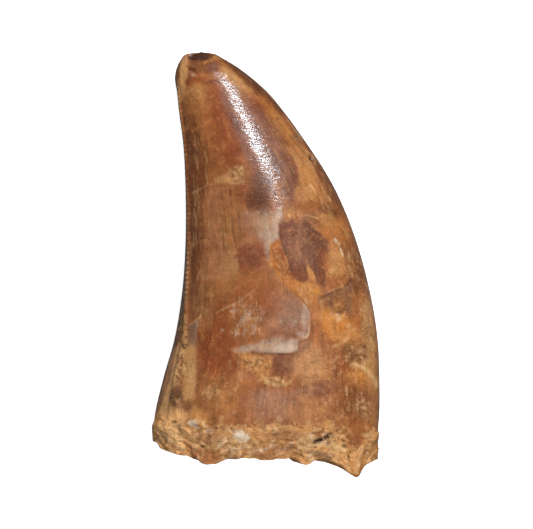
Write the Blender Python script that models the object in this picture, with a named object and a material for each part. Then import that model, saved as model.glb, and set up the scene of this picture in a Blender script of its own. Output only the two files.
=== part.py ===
"""A fossil tooth of a large meat-eating dinosaur, lying on its side.

The tip points along +Y, the convex front edge is towards +X, the serrated rear edge is
towards -X and one flank faces up. The tooth touches the ground plane under the tip and where
the highest lumps of crust under the broken root meet it, and is cut flat there.

The origin is the middle of the tooth's box, on the ground plane. Sizes in the tables are in
millimetres. "Height" is the distance along the tooth from the lowest point of the broken
root (0) to the worn tip (TOOTH_LENGTH), and "across" is the distance to the right of the
middle of the tooth.
"""

import bpy
import numpy as np
from mathutils import Vector, noise

MM = 0.001
TOOTH_LENGTH = 55.0
FACET_COUNT = 9000  # triangles that are kept for the whole tooth

# Height, then where the rear and the front edge of the crown are, across.
EDGES = (
    (0.0, -14.7, 14.25),
    (4.5, -14.7, 14.35),
    (8.0, -14.5, 14.6),
    (12.4, -13.5, 14.6),
    (17.5, -12.05, 14.35),
    (22.8, -11.1, 13.6),
    (28.0, -10.65, 12.4),
    (33.2, -10.5, 10.65),
    (38.4, -10.65, 8.25),
    (43.5, -11.0, 5.0),
    (47.5, -11.5, 2.1),
    (50.0, -11.75, 0.0),
    (52.0, -12.0, -2.3),
    (53.5, -11.6, -4.4),
    (54.6, -10.9, -6.3),
)
# Height, then half the crown's thickness and how high its middle lies above the ground.
THICKNESS = (
    (0.0, 7.0, 7.6),
    (8.0, 7.1, 7.8),
    (18.0, 6.7, 7.7),
    (28.0, 5.9, 6.95),
    (38.4, 4.75, 5.45),
    (46.0, 3.7, 3.95),
    (50.7, 2.95, 2.95),
    (53.5, 2.2, 2.95),
    (54.6, 1.6, 3.05),
)
# Height, then the angle round the section at which the serrated keel stands, 180 being the
# rear edge and 90 the top. Near the root the keel runs up on to the flank.
KEEL_ANGLE = (
    (0.0, 147.0),
    (6.5, 148.0),
    (10.0, 150.0),
    (17.0, 154.0),
    (20.0, 157.0),
    (24.0, 165.0),
    (30.0, 167.0),
    (50.0, 167.0),
    (55.0, 165.0),
)
KEEL_HEIGHT = 0.30
KEEL_HALF_WIDTH = 3.2  # degrees round the section
KEEL_TOP = 52.0
DENTICLE_PITCH = 0.64
DENTICLE_DEPTH = 0.16
DENTICLE_FOOT = 22.0  # below this height the denticles are buried in crust

# The broken lower edge of the root: across, then height.
BROKEN_EDGE = (
    (-15.0, 4.6),
    (-13.4, 3.1),
    (-11.4, 2.6),
    (-9.2, 1.9),
    (-6.9, 1.3),
    (-5.6, 2.0),
    (-3.0, 2.3),
    (0.8, 2.1),
    (3.7, 2.0),
    (5.2, 1.4),
    (6.8, 2.2),
    (8.4, 2.1),
    (9.8, 1.0),
    (11.3, 0.1),
    (12.1, 0.05),
    (12.9, 1.2),
    (14.0, 1.9),
    (15.0, 2.7),
)
# The line where the crust of the root ends on the crown: across, then height.
CRUST_LINE = (
    (-15.0, 6.6),
    (-11.0, 6.4),
    (-8.0, 6.3),
    (-2.0, 6.2),
    (8.0, 6.3),
    (11.0, 5.6),
    (15.0, 4.8),
)
CRUST_RISE = 0.22  # how far the crust stands proud of the crown
CRUST_LUMP = 0.48  # how far its lumps rise and fall
CRUST_GRAIN = 2.1  # size of a lump
CRUST_GRIT = 0.8  # size of the smaller lumps on it
CRUST_BORDER = 0.5  # how far its upper line wanders
CRUST_FOOT = 0.9  # how soon it thickens under that line
ROOT_TOP = 7.2  # rows below this height follow the broken edge
RAGGED, RAGGED_GRAIN = 0.45, 1.3  # how far the far side of the edge wanders, and its lumps
BREAK_ROUGHNESS = 0.9
BREAK_LUMP, BREAK_GRIT = 3.4, 1.4  # sizes of the lumps on the broken face
PULP_HOLLOW = 1.6  # how far the middle of the broken end is hollowed
WAVE, WAVE_LENGTH = 0.10, 9.0  # the slow unevenness of the crown

# The scarp where a flake of enamel has spalled off the flank: across, height. The flake's
# bed lies to the right of the line and below it, and rises gently to the sound surface.
SCARP = (
    (2.0, 34.6),
    (2.15, 33.4),
    (1.5, 32.8),
    (1.75, 30.7),
    (0.4, 29.8),
    (0.3, 28.0),
    (1.2, 26.0),
    (4.4, 22.8),
    (5.3, 21.4),
    (5.6, 18.9),
    (5.4, 18.0),
    (4.0, 17.4),
    (4.0, 16.3),
    (3.0, 16.0),
    (-3.7, 16.1),
)
BED_EDGE = ((-4.5, 13.0), (0.0, 10.5), (9.0, 11.0), (13.5, 18.0), (13.0, 30.0), (8.0, 36.5))
SCARP_DEPTH = 0.38
SCARP_WIDTH = 0.16
BED_FLAT = 2.0  # how far the bed stays at full depth
BED_REACH = 8.0  # how far from the scarp it has risen to the sound surface
BED_BORDER = 1.6  # how softly it rises at its other edges

# Hollows: across, height, reach across, reach along, depth.
PITS = (
    (6.1, 5.0, 0.8, 0.45, 0.7),
    (7.6, 5.7, 0.5, 0.3, 0.4),
    (-8.6, 5.7, 1.2, 0.6, 0.35),
    (-11.9, 6.4, 0.9, 0.8, 0.3),
    (10.8, 2.8, 0.5, 0.9, 0.35),
    (-9.7, 52.6, 0.5, 0.35, 0.35),
    (-2.0, 13.4, 2.2, 0.9, 0.16),
)
# Swellings on the flank, in the same form.
SWELLINGS = (
    (-10.3, 6.6, 1.1, 0.9, 0.45),
    (-6.6, 3.0, 1.6, 1.2, 0.5),
    (-12.9, 5.2, 1.4, 1.6, 0.35),
    (11.6, 2.2, 1.0, 1.8, 0.7),
    (13.7, 4.4, 0.8, 1.4, 0.4),
    (2.3, 12.2, 1.9, 0.5, 0.14),
    (-11.6, 9.2, 0.5, 1.4, 0.35),
    (12.6, 15.6, 1.4, 0.9, 0.16),
)
# Under the root the crust is thick and squares the section off, so that it lies broad.
SQUARE_FROM, SQUARE_FULL = 12.0, 5.5  # heights
SQUARENESS = 0.4
UNDER_CRUST = -0.04
# Lumps of crust under the root, in the form of the swellings, which bear the tooth's weight.
UNDER_LUMPS = (
    (-8.6, 4.7, 2.6, 1.9, 1.4),
    (-4.0, 3.4, 1.5, 1.2, 0.2),
    (9.2, 4.9, 2.7, 1.8, 1.45),
)
# The worn facet on the tip: the height where it starts, how high above the ground it is there
# and how steeply it falls towards the tip.
FACET_START, FACET_LEVEL, FACET_FALL = 51.7, 5.75, 0.72
FACET_LEAN = 0.10  # it also falls towards the rear edge
FACET_SOFT = 0.3  # how softly its edge is worn
FACET_UNEVEN, FACET_GRAIN = 0.12, 1.1

LENS = 0.22  # how much more pointed than an ellipse the section is at the rear edge
COLUMNS_ABOVE = 120
COLUMNS_BELOW = 64
ROW_STEP = DENTICLE_PITCH / 3
CAP_RINGS = 14
FOSSIL_ENAMEL = (0.45, 0.22, 0.09, 1.0)


def curve(table, at, column=1):
    """A smooth curve through the table's points, read at the places given."""
    points = np.array(table, float)
    place, value = points[:, 0], points[:, column]
    slope = np.gradient(value, place)
    i = np.clip(np.searchsorted(place, at) - 1, 0, len(place) - 2)
    gap = place[i + 1] - place[i]
    t = np.clip((at - place[i]) / gap, 0.0, 1.0)
    start = (2 * t**3 - 3 * t**2 + 1) * value[i] + (t**3 - 2 * t**2 + t) * gap * slope[i]
    end = (3 * t**2 - 2 * t**3) * value[i + 1] + (t**3 - t**2) * gap * slope[i + 1]
    return start + end


def ramp(value, low, high):
    """0 below low, 1 above high and a smooth rise between them."""
    t = np.clip((value - low) / (high - low), 0.0, 1.0)
    return t * t * (3 - 2 * t)


def grain(points, size, seed):
    """Smooth lumpy noise of the given lump size, about -1 to 1, at each point."""
    shift = Vector((seed * 17.3, seed * 5.1, seed * 9.7))
    return np.array([noise.noise(Vector(p) / size + shift) for p in points.reshape(-1, 3)])


def distance_to_line(x, y, line):
    """The shortest distance from each point to an open line of straight runs."""
    nearest = np.full(x.shape, np.inf)
    for (x0, y0), (x1, y1) in zip(line, line[1:]):
        run = np.hypot(x1 - x0, y1 - y0) ** 2
        t = np.clip(((x - x0) * (x1 - x0) + (y - y0) * (y1 - y0)) / run, 0.0, 1.0)
        away = np.hypot(x - x0 - t * (x1 - x0), y - y0 - t * (y1 - y0))
        nearest = np.minimum(nearest, away)
    return nearest


def inside(x, y, ring):
    """True for each point that lies inside a closed ring of straight runs."""
    crossings = np.zeros(x.shape, int)
    for (x0, y0), (x1, y1) in zip(ring, ring[1:] + ring[:1]):
        spans = (y0 > y) != (y1 > y)
        rise = y1 - y0 if y1 != y0 else 1.0
        crossings += spans & (x < x0 + (y - y0) * (x1 - x0) / rise)
    return crossings % 2 == 1


def section(height, angle):
    """The plain crown: across and up for each height and angle round the section."""
    rear, front = curve(EDGES, height, 1), curve(EDGES, height, 2)
    half, middle = curve(THICKNESS, height, 1), curve(THICKNESS, height, 2)
    cos, sin = np.cos(angle), np.sin(angle)
    pinch = 1.0 + LENS * (1 - cos) / 2
    square = ramp(-height, -SQUARE_FROM, -SQUARE_FULL) * (sin < 0)
    pinch = pinch + (SQUARENESS - pinch) * square
    across = (rear + front) / 2 + (front - rear) / 2 * cos
    up = middle + half * np.sign(sin) * np.abs(sin) ** pinch
    return across, up


def outward(grid):
    """Unit vectors that point out of the surface at each point of the grid of rows."""
    along = np.gradient(grid, axis=0)
    around = np.roll(grid, -1, axis=1) - np.roll(grid, 1, axis=1)
    normal = np.cross(around, along)
    return normal / np.linalg.norm(normal, axis=2, keepdims=True)


def keel(height, angle):
    """How far the serrated rear keel stands out."""
    turn = np.degrees(angle) - curve(KEEL_ANGLE, height)
    ridge = np.exp(-((turn / KEEL_HALF_WIDTH) ** 2))
    wave = 0.5 - 0.5 * np.cos(2 * np.pi * height / DENTICLE_PITCH)
    cut = DENTICLE_DEPTH * wave * ramp(height, DENTICLE_FOOT, DENTICLE_FOOT + 2)
    return (KEEL_HEIGHT - cut) * ridge * ramp(KEEL_TOP - height, 0.0, 3.0)


def flake_bed(across, height, faces_up):
    """How far the bed of the lost enamel flake lies under the sound surface."""
    away = distance_to_line(across, height, SCARP)
    border = distance_to_line(across, height, SCARP[-1:] + BED_EDGE + SCARP[:1])
    in_bed = inside(across, height, SCARP + BED_EDGE)
    depth = ramp(away, 0.0, SCARP_WIDTH) * (1 - ramp(away, BED_FLAT, BED_REACH))
    return SCARP_DEPTH * in_bed * depth * ramp(border, 0.0, BED_BORDER) * faces_up


def spots(across, height, table):
    """The sum of round hollows or swellings."""
    total = np.zeros(across.shape)
    for middle, level, wide, long, depth in table:
        total += depth * np.exp(-(((across - middle) / wide) ** 2) - ((height - level) / long) ** 2)
    return total


def relief(grid, height, angle):
    """How far each point of the plain crown moves outward."""
    across = grid[..., 0]
    faces_up = ramp(np.sin(angle), -0.1, 0.25)
    shape = across.shape
    coarse = grain(grid, CRUST_GRAIN, 1).reshape(shape)
    fine = grain(grid, CRUST_GRIT, 2).reshape(shape)
    border = curve(CRUST_LINE, across) + CRUST_BORDER * (coarse + 0.5 * fine)
    crust = ramp(border - height, 0.0, CRUST_FOOT)
    lumps = CRUST_RISE + CRUST_LUMP * (coarse + 0.5 * fine)
    out = crust * lumps + keel(height, angle) * (1 - 0.5 * crust)
    out += WAVE * grain(grid, WAVE_LENGTH, 3).reshape(shape)
    out -= flake_bed(across + 0.1 * fine, height + 0.1 * coarse, faces_up)
    out -= spots(across, height, PITS) * faces_up
    out += spots(across, height, SWELLINGS) * faces_up
    return out


def wear_tip(grid, height):
    """Lowers what stands above the worn facet of the tip to that facet."""
    facet = FACET_LEVEL - FACET_FALL * (height - FACET_START)
    facet += FACET_LEAN * (grid[..., 0] - EDGES[-1][1])
    facet += FACET_UNEVEN * grain(grid, FACET_GRAIN, 9).reshape(height.shape)
    above = grid[..., 2] - facet
    grid[..., 2] -= above * ramp(above, 0.0, FACET_SOFT)


def tooth_rows():
    """The rows of points from the tip to the broken edge, as a grid."""
    above = np.linspace(0.0, np.pi, COLUMNS_ABOVE, endpoint=False)
    below = np.linspace(np.pi, 2 * np.pi, COLUMNS_BELOW, endpoint=False)
    angles = np.concatenate((above, below))
    top = EDGES[-1][0]
    heights = np.arange(top, 0.0, -ROW_STEP)
    height, angle = np.meshgrid(heights, angles, indexing="ij")
    across, up = section(height, angle)
    grid = np.stack((across, height, up), axis=2)
    normal = outward(grid)
    grid = grid + normal * relief(grid, height, angle)[..., None]
    under = ramp(-np.sin(angle), 0.2, 0.6) * ramp(-height, -SQUARE_FULL - 1.5, -SQUARE_FULL)
    grid[..., 2] -= (UNDER_CRUST + spots(grid[..., 0], height, UNDER_LUMPS)) * under
    wear_tip(grid, height)
    # Below ROOT_TOP the rows close up or spread, so that the last one is the broken edge.
    jagged = curve(BROKEN_EDGE, np.clip(grid[..., 0], -15.0, 15.0))
    ragged = RAGGED * grain(grid * (1, 0, 1), RAGGED_GRAIN, 5).reshape(height.shape)
    down = np.clip((ROOT_TOP - height) / ROOT_TOP, 0.0, 1.0)
    grid[..., 1] += down * (jagged + ragged * np.sin(angle / 2))
    return grid


def broken_end(edge):
    """Rings that close the broken root, from its edge to its middle."""
    middle = edge.mean(axis=0)
    rings = []
    for i in range(1, CAP_RINGS + 1):
        share = 1 - i / (CAP_RINGS + 1)
        ring = middle + (edge - middle) * share
        flat = ring * (1, 0, 1)
        rough = grain(flat, BREAK_LUMP, 7) + 0.5 * grain(flat, BREAK_GRIT, 8)
        level = middle[1] + BREAK_ROUGHNESS * rough + PULP_HOLLOW * (1 - share**2)
        blend = share**5
        ring[:, 1] = edge[:, 1] * blend + level * (1 - blend)
        rings.append(ring)
    return np.array(rings)


def tooth_mesh():
    """The closed mesh of the tooth, in metres: rows, the broken end and a point at each end."""
    rows = tooth_rows()
    rows = np.concatenate((rows, broken_end(rows[-1])))
    count, columns = rows.shape[:2]
    tip = rows[0].mean(axis=0)
    tip[1] = TOOTH_LENGTH
    root = rows[-1].mean(axis=0)
    points = np.concatenate((rows.reshape(-1, 3), [tip, root])) * MM
    faces = []
    for row in range(count - 1):
        for column in range(columns):
            a, b = row * columns + column, row * columns + (column + 1) % columns
            faces.append((a, b, b + columns, a + columns))
    tip_index, root_index = count * columns, count * columns + 1
    last = (count - 1) * columns
    for column in range(columns):
        after = (column + 1) % columns
        faces.append((tip_index, after, column))
        faces.append((root_index, last + column, last + after))
    mesh = bpy.data.meshes.new("tooth")
    mesh.from_pydata(points.tolist(), [], faces)
    mesh.validate()
    return mesh


def fossil_enamel():
    """Brown fossil enamel, a stony gloss."""
    material = bpy.data.materials.new("fossil enamel")
    material.use_nodes = True
    shader = material.node_tree.nodes["Principled BSDF"]
    shader.inputs["Base Color"].default_value = FOSSIL_ENAMEL
    shader.inputs["Roughness"].default_value = 0.35
    shader.inputs["Metallic"].default_value = 0.0
    return material


def ground_cutter():
    """A slab under the ground plane, which cuts the contact points flat."""
    width, length, depth = 100 * MM, 200 * MM, 20 * MM
    bpy.ops.mesh.primitive_cube_add(size=1.0, location=(0, 0, -depth / 2))
    cutter = bpy.context.object
    cutter.name = "ground_cutter"
    cutter.scale = (width, length, depth)
    cutter.hide_render = True
    cutter.display_type = "WIRE"
    return cutter


def centre_on_origin(tooth):
    """Moves the mesh so that the finished tooth's box has its middle on the Z axis."""
    finished = tooth.evaluated_get(bpy.context.evaluated_depsgraph_get())
    corners = np.array([tuple(corner) for corner in finished.bound_box])
    middle = (corners.min(axis=0) + corners.max(axis=0)) / 2
    for vertex in tooth.data.vertices:
        vertex.co.x -= middle[0]
        vertex.co.y -= middle[1]


def build_tooth():
    """The tooth: a fine mesh that is thinned to its facets and cut flat by the ground."""
    tooth = bpy.data.objects.new("tooth", tooth_mesh())
    bpy.context.scene.collection.objects.link(tooth)
    tooth.data.materials.append(fossil_enamel())
    thin = tooth.modifiers.new("facets", "DECIMATE")
    thin.ratio = FACET_COUNT / sum(len(face.vertices) - 2 for face in tooth.data.polygons)
    ground = tooth.modifiers.new("ground", "BOOLEAN")
    ground.operation = "DIFFERENCE"
    ground.solver = "EXACT"
    ground.object = ground_cutter()
    centre_on_origin(tooth)
    tooth.data.shade_smooth()
    tooth.data.set_sharp_from_angle(angle=np.radians(50))
    return tooth


for old in list(bpy.data.objects):
    bpy.data.objects.remove(old, do_unlink=True)
build_tooth()
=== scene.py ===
# %% [markdown]
# # A fossil tooth of a large meat-eating dinosaur
#
# The tooth is one natural piece: a curved blade of enamel over dentine, turned to stone, with a
# serrated keel down its rear edge, a worn tip, and a rim of broken root with a crust of rock
# grains. It lies on one flank. The imported solid already has its size and main form, so this
# lesson makes the same tooth again as a finer mesh, sculpts the small relief that the solid
# leaves out, paints the minerals' colours and some light and shade on its points, and then
# gives it one material with two finishes: glossy fossil enamel, and the dull porous crust of
# the root.

# %% The frame
import math

import bpy
import numpy as np
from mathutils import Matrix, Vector, noise


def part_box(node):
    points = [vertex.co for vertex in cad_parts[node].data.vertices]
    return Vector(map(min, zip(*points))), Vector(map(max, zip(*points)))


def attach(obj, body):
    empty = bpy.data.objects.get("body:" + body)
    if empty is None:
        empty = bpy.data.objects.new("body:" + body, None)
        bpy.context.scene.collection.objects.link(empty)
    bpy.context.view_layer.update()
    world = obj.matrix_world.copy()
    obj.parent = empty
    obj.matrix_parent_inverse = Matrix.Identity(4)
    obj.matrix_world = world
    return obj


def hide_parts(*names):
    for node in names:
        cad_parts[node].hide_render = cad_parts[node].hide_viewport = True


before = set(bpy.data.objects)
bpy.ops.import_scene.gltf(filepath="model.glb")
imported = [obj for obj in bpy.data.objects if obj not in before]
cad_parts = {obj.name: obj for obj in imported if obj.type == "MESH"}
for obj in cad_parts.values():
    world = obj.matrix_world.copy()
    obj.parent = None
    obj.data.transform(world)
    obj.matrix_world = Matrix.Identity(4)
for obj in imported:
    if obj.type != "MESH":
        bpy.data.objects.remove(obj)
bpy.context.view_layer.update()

# %% [markdown]
# ## Units and small helpers
#
# Tables below are in millimetres, because that is how a tooth is measured, and Blender works in
# metres. "Height" is the distance along the tooth from the lowest point of the broken root (0)
# to the worn tip (55). "Across" is the distance to the right of the tooth's middle, seen from
# above with the tip pointing away. "Angle" runs round the section: 0 is the convex front edge,
# 90 degrees the top of the flank that shows, 180 the rear edge and 270 the flank underneath.

# %% Helpers
MM = 0.001


def linear(colour):
    """An sRGB hex colour as the linear red, green, blue and alpha that nodes use."""
    parts = [int(colour[i:i + 2], 16) / 255 for i in (1, 3, 5)]
    return [p / 12.92 if p < 0.04045 else ((p + 0.055) / 1.055) ** 2.4 for p in parts] + [1.0]


def ramp(value, low, high):
    """0 below low, 1 above high and a smooth rise between them."""
    t = np.clip((value - low) / (high - low), 0.0, 1.0)
    return t * t * (3 - 2 * t)


def curve(table, at, column=1):
    """A smooth curve through the table's points, read at the places given."""
    points = np.array(table, float)
    place, value = points[:, 0], points[:, column]
    slope = np.gradient(value, place)
    i = np.clip(np.searchsorted(place, at) - 1, 0, len(place) - 2)
    gap = place[i + 1] - place[i]
    t = np.clip((at - place[i]) / gap, 0.0, 1.0)
    start = (2 * t**3 - 3 * t**2 + 1) * value[i] + (t**3 - 2 * t**2 + t) * gap * slope[i]
    end = (3 * t**2 - 2 * t**3) * value[i + 1] + (t**3 - t**2) * gap * slope[i + 1]
    return start + end


def held_curve(table, at):
    """The same curve, held at its ends for places beyond the table."""
    return curve(table, np.clip(at, table[0][0], table[-1][0]))


def grain(points, size, seed):
    """Smooth lumpy noise of the given lump size, about -1 to 1, at each point."""
    shift = Vector((seed * 17.3, seed * 5.1, seed * 9.7))
    return np.array([noise.noise(Vector(p) / size + shift) for p in points.tolist()])


def distance_to_line(x, y, line):
    """The shortest distance from each point to an open line of straight runs."""
    nearest = np.full(x.shape, np.inf)
    for (x0, y0), (x1, y1) in zip(line, line[1:]):
        run = (x1 - x0) ** 2 + (y1 - y0) ** 2
        t = np.clip(((x - x0) * (x1 - x0) + (y - y0) * (y1 - y0)) / run, 0.0, 1.0)
        nearest = np.minimum(nearest, np.hypot(x - x0 - t * (x1 - x0), y - y0 - t * (y1 - y0)))
    return nearest


def inside(x, y, ring):
    """True for each point that lies inside a closed ring of straight runs."""
    crossings = np.zeros(x.shape, int)
    for (x0, y0), (x1, y1) in zip(ring, ring[1:] + ring[:1]):
        spans = (y0 > y) != (y1 > y)
        rise = y1 - y0 if y1 != y0 else 1.0
        crossings += spans & (x < x0 + (y - y0) * (x1 - x0) / rise)
    return crossings % 2 == 1


def depth_inside(x, y, ring):
    """How deep each point lies inside a ring, negative outside it."""
    away = distance_to_line(x, y, ring + ring[:1])
    return np.where(inside(x, y, ring), away, -away)


print("a mid grey:", [round(v, 3) for v in linear("#808080")])

# %% [markdown]
# ## The blank
#
# A crown is widest at the root and tapers to the tip, and its section is a lens. It could be
# extruded ring by ring, but here every point is wanted at a known height and angle, because
# growth lines, keel and cracks all follow those two. So the blank is a plain cylinder: its
# side is cut into rings, its ends are inset ring by ring and closed to a point, and the strip
# that will carry the serration is cut finer. Each point can then be asked for its height and
# its angle, and moved to where the tooth has that place.

# %% Cut a cylinder into rings
LENGTH = 54.6  # of the side. The worn tip closes over the last 0.4 mm.
RADIUS = 10.0
COLUMNS = 256
RING_CUTS = (10, 30)  # 11 parts, and 31 rings in each: one ring every 0.16 mm
NEAR = 0.01  # two heights closer than this are the same
SIDE_FROM = 0.97  # of the radius. What lies further in belongs to an end.
END_RINGS = {0.0: 18, LENGTH: 4}  # the broken root shows its face, the tip hardly


def select(piece, mode, wanted):
    """Selects only the edges or faces for which wanted() is true, and goes to edit mode."""
    bpy.ops.object.mode_set(mode="EDIT")
    bpy.ops.mesh.select_mode(type=mode)
    bpy.ops.mesh.select_all(action="DESELECT")
    bpy.ops.object.mode_set(mode="OBJECT")
    for part in piece.data.edges if mode == "EDGE" else piece.data.polygons:
        part.select = bool(wanted(part))
    bpy.ops.object.mode_set(mode="EDIT")


def read(piece):
    """The piece's points, in millimetres."""
    points = np.empty(len(piece.data.vertices) * 3)
    piece.data.vertices.foreach_get("co", points)
    return points.reshape(-1, 3) / MM


def write(piece, points):
    """Moves the piece's points to places in millimetres."""
    piece.data.vertices.foreach_set("co", (points * MM).ravel())
    piece.data.update()


bpy.ops.object.select_all(action="DESELECT")
bpy.ops.mesh.primitive_cylinder_add(
    vertices=COLUMNS, radius=RADIUS * MM, depth=LENGTH * MM, end_fill_type="NGON",
    location=(0, LENGTH * MM / 2, 0), rotation=(-math.pi / 2, 0, 0))
tooth = bpy.context.object
tooth.name = "fossil_tooth"
bpy.ops.object.transform_apply(location=True, rotation=True, scale=True)

for cuts in RING_CUTS:
    ends = read(tooth)
    select(tooth, "EDGE", lambda edge: abs(np.subtract(*ends[list(edge.vertices)])[1]) > NEAR)
    bpy.ops.mesh.subdivide(number_cuts=cuts)
    bpy.ops.object.mode_set(mode="OBJECT")

for end, rings in END_RINGS.items():
    select(tooth, "FACE", lambda face: abs(face.center.y / MM - end) < NEAR)
    for ring in range(rings):
        bpy.ops.mesh.inset(thickness=RADIUS * MM / (rings + 1))
    bpy.ops.mesh.poke()
    bpy.ops.object.mode_set(mode="OBJECT")
print("blank:", len(tooth.data.vertices), "points,", len(tooth.data.polygons), "faces")

# %% [markdown]
# ## The crown's form
#
# The outline of such a tooth is a hook: the rear edge is nearly straight and the front edge
# sweeps over to the tip. Its thickness falls from root to tip, and the lying tooth's middle
# line sinks with it. A few stations along the tooth say all that, and a smooth curve runs
# through them. More of the blank's columns go to the flank that shows than to the one below.

# %% Stations along the crown
# Height, then where the rear and the front edge of the crown are, across.
EDGES = (
    (0.0, -14.7, 14.25), (4.5, -14.7, 14.35), (8.0, -14.5, 14.6), (12.4, -13.5, 14.6),
    (17.5, -12.05, 14.35), (22.8, -11.1, 13.6), (28.0, -10.65, 12.4), (33.2, -10.5, 10.65),
    (38.4, -10.65, 8.25), (43.5, -11.0, 5.0), (47.5, -11.5, 2.1), (50.0, -11.75, 0.0),
    (52.0, -12.0, -2.3), (53.5, -11.6, -4.4), (54.6, -10.9, -6.3),
)
BROKEN_EDGE = (  # across, then the height of the broken lower edge
    (-15.0, 4.6), (-13.4, 3.3), (-11.4, 2.8), (-9.2, 2.1), (-6.9, 1.6), (-5.6, 2.2),
    (-3.0, 2.55), (0.8, 2.3), (3.7, 2.2), (5.2, 1.6), (6.8, 2.45), (8.0, 2.4), (8.9, 1.9),
    (10.3, 0.95), (10.8, 0.3), (12.0, 0.2), (12.5, 1.1), (13.1, 1.6), (14.0, 1.95), (15.0, 2.2),
)
ROOT_TOP = 7.2  # rows below this height follow the broken edge
# Height, then half the crown's thickness and how high its middle lies above the ground.
THICKNESS = (
    (0.0, 7.0, 7.6), (8.0, 7.1, 7.8), (18.0, 6.7, 7.7), (28.0, 5.9, 6.95), (38.4, 4.75, 5.45),
    (46.0, 3.7, 3.95), (50.7, 2.95, 2.95), (53.5, 2.2, 2.95), (54.6, 1.6, 3.05),
)
TOP_SHARE = 0.70  # of the columns
EVEN_OUT = 0.12  # moves columns from the two edges to the flat of the flank
LENS = 0.22  # how much more pointed than an ellipse the section is at the rear edge
SQUARE_FROM, SQUARE_FULL = 12.0, 5.5  # heights where the crusted underside squares off
SQUARENESS = 0.4


def share_round(x, z):
    """How far round the blank a place is, 0 to 1, from the front edge over the top."""
    return (np.arctan2(z, x) / (2 * np.pi)) % 1.0


def angle_of(share):
    """The angle round the section, in radians, of each share of the way round the blank."""
    over = share < TOP_SHARE
    half = np.where(over, share / TOP_SHARE, (share - TOP_SHARE) / (1 - TOP_SHARE))
    return np.pi * (half + ~over) + EVEN_OUT * np.sin(2 * np.pi * half)


def span(height):
    """The crown's middle across and half its width at each height."""
    rear, front = curve(EDGES, height, 1), curve(EDGES, height, 2)
    return (rear + front) / 2, (front - rear) / 2


def section(height, angle):
    """The plain crown: across, height and up for each height and angle."""
    centre, half_width = span(height)
    half, middle = curve(THICKNESS, height, 1), curve(THICKNESS, height, 2)
    cos, sin = np.cos(angle), np.sin(angle)
    pinch = 1.0 + LENS * (1 - cos) / 2
    square = ramp(-height, -SQUARE_FROM, -SQUARE_FULL) * (sin < 0)
    pinch = pinch + (SQUARENESS - pinch) * square
    across = centre + half_width * cos
    up = middle + half * np.sign(sin) * np.abs(sin) ** pinch
    return np.stack((across, height, up), axis=-1)


def facing(height, angle, step=0.01):
    """The direction in which the plain crown faces at each height and angle."""
    along = section(height + step, angle) - section(height - step, angle)
    around = section(height, angle + step) - section(height, angle - step)
    normal = np.cross(along, around)
    return normal / np.linalg.norm(normal, axis=-1, keepdims=True)


# %% Cut the strip that carries the serration finer, and read the places
KEEL_ANGLE = (  # height, then the angle at which the keel stands
    (0.0, 147.0), (6.5, 148.0), (10.0, 150.0), (17.0, 154.0), (20.0, 157.0), (24.0, 162.0),
    (30.0, 164.0), (50.0, 163.0), (55.0, 160.0),
)
STRIP_HALF_WIDTH, STRIP_REACH = 5.5, (20.5, 52.5)


def in_keel_strip(face):
    """True for a face of the strip that carries the serration."""
    place = np.array(face.center) / MM
    off = np.degrees(angle_of(share_round(place[0], place[2]))) - curve(KEEL_ANGLE, place[1])
    return abs(off) < STRIP_HALF_WIDTH and STRIP_REACH[0] < place[1] < STRIP_REACH[1]


select(tooth, "FACE", in_keel_strip)
bpy.ops.mesh.subdivide(number_cuts=1)
bpy.ops.object.mode_set(mode="OBJECT")

blank = read(tooth)
height = blank[:, 1]
share = share_round(blank[:, 0], blank[:, 2])
angle = angle_of(share)
from_axis = np.minimum(np.hypot(blank[:, 0], blank[:, 2]) / RADIUS, 1.0)
on_side = from_axis > SIDE_FROM
plain = section(height, angle)
out = facing(height, angle)
faces_up = ramp(np.sin(angle), -0.1, 0.25)
print("points on the side:", on_side.sum(), " facing up:", int((faces_up > 0.5).sum()))

# %% [markdown]
# ## Relief of the crust and the keel
#
# Rock grains cemented to the root stand proud of the enamel as lumps of two sizes with grit on
# them. The keel is a low ridge cut into denticles, the little teeth that sawed meat: rounded
# beads 0.64 mm apart with narrow grooves between them. Both are noise or waves that move the
# points outward, which keeps them part of one closed surface.

# %% Crust and keel
CRUST_LINE = (  # across, then the height where the root's crust ends on the crown
    (-15.0, 7.6), (-13.0, 8.2), (-11.8, 7.4), (-10.6, 6.8), (-9.6, 7.6), (-8.8, 8.0), (-7.6, 6.6),
    (-5.0, 6.2), (-2.0, 6.2), (5.0, 6.4), (8.0, 6.1), (9.6, 5.2), (11.0, 4.2), (12.4, 4.0),
    (13.4, 4.6), (15.0, 5.0),
)
CRUST_RISE, CRUST_LUMP = 0.22, 0.48
CRUST_GRAIN, CRUST_GRIT, CRUST_SAND = 2.1, 0.8, 0.38
CRUST_BORDER, CRUST_FOOT, EDGE_FOOT, EDGE_TAME = 0.5, 0.9, 4.0, 0.75
SAND_RISE = 0.16
KEEL_HEIGHT, KEEL_HALF_WIDTH, KEEL_TOP = 0.26, 3.0, 52.0
DENTICLE_PITCH, DENTICLE_DEPTH, DENTICLE_FOOT = 0.64, 0.18, 22.0
WAVE, WAVE_LENGTH = 0.10, 9.0  # the slow unevenness of the crown

coarse = grain(plain, CRUST_GRAIN, 1)
fine = grain(plain, CRUST_GRIT, 2)
sand = grain(plain, CRUST_SAND, 4)
border = curve(CRUST_LINE, plain[:, 0]) + CRUST_BORDER * (coarse + 0.5 * fine)
near_edge = (1 - np.abs(np.sin(angle))) ** 2
foot = CRUST_FOOT + EDGE_FOOT * near_edge
crust = ramp(border + 0.4 * (foot - CRUST_FOOT) - height, 0.0, foot)
tame = 1 - EDGE_TAME * near_edge  # the two edges stay smoother
relief = crust * (CRUST_RISE + tame * (CRUST_LUMP * (coarse + 0.5 * fine) + SAND_RISE * sand))

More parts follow.
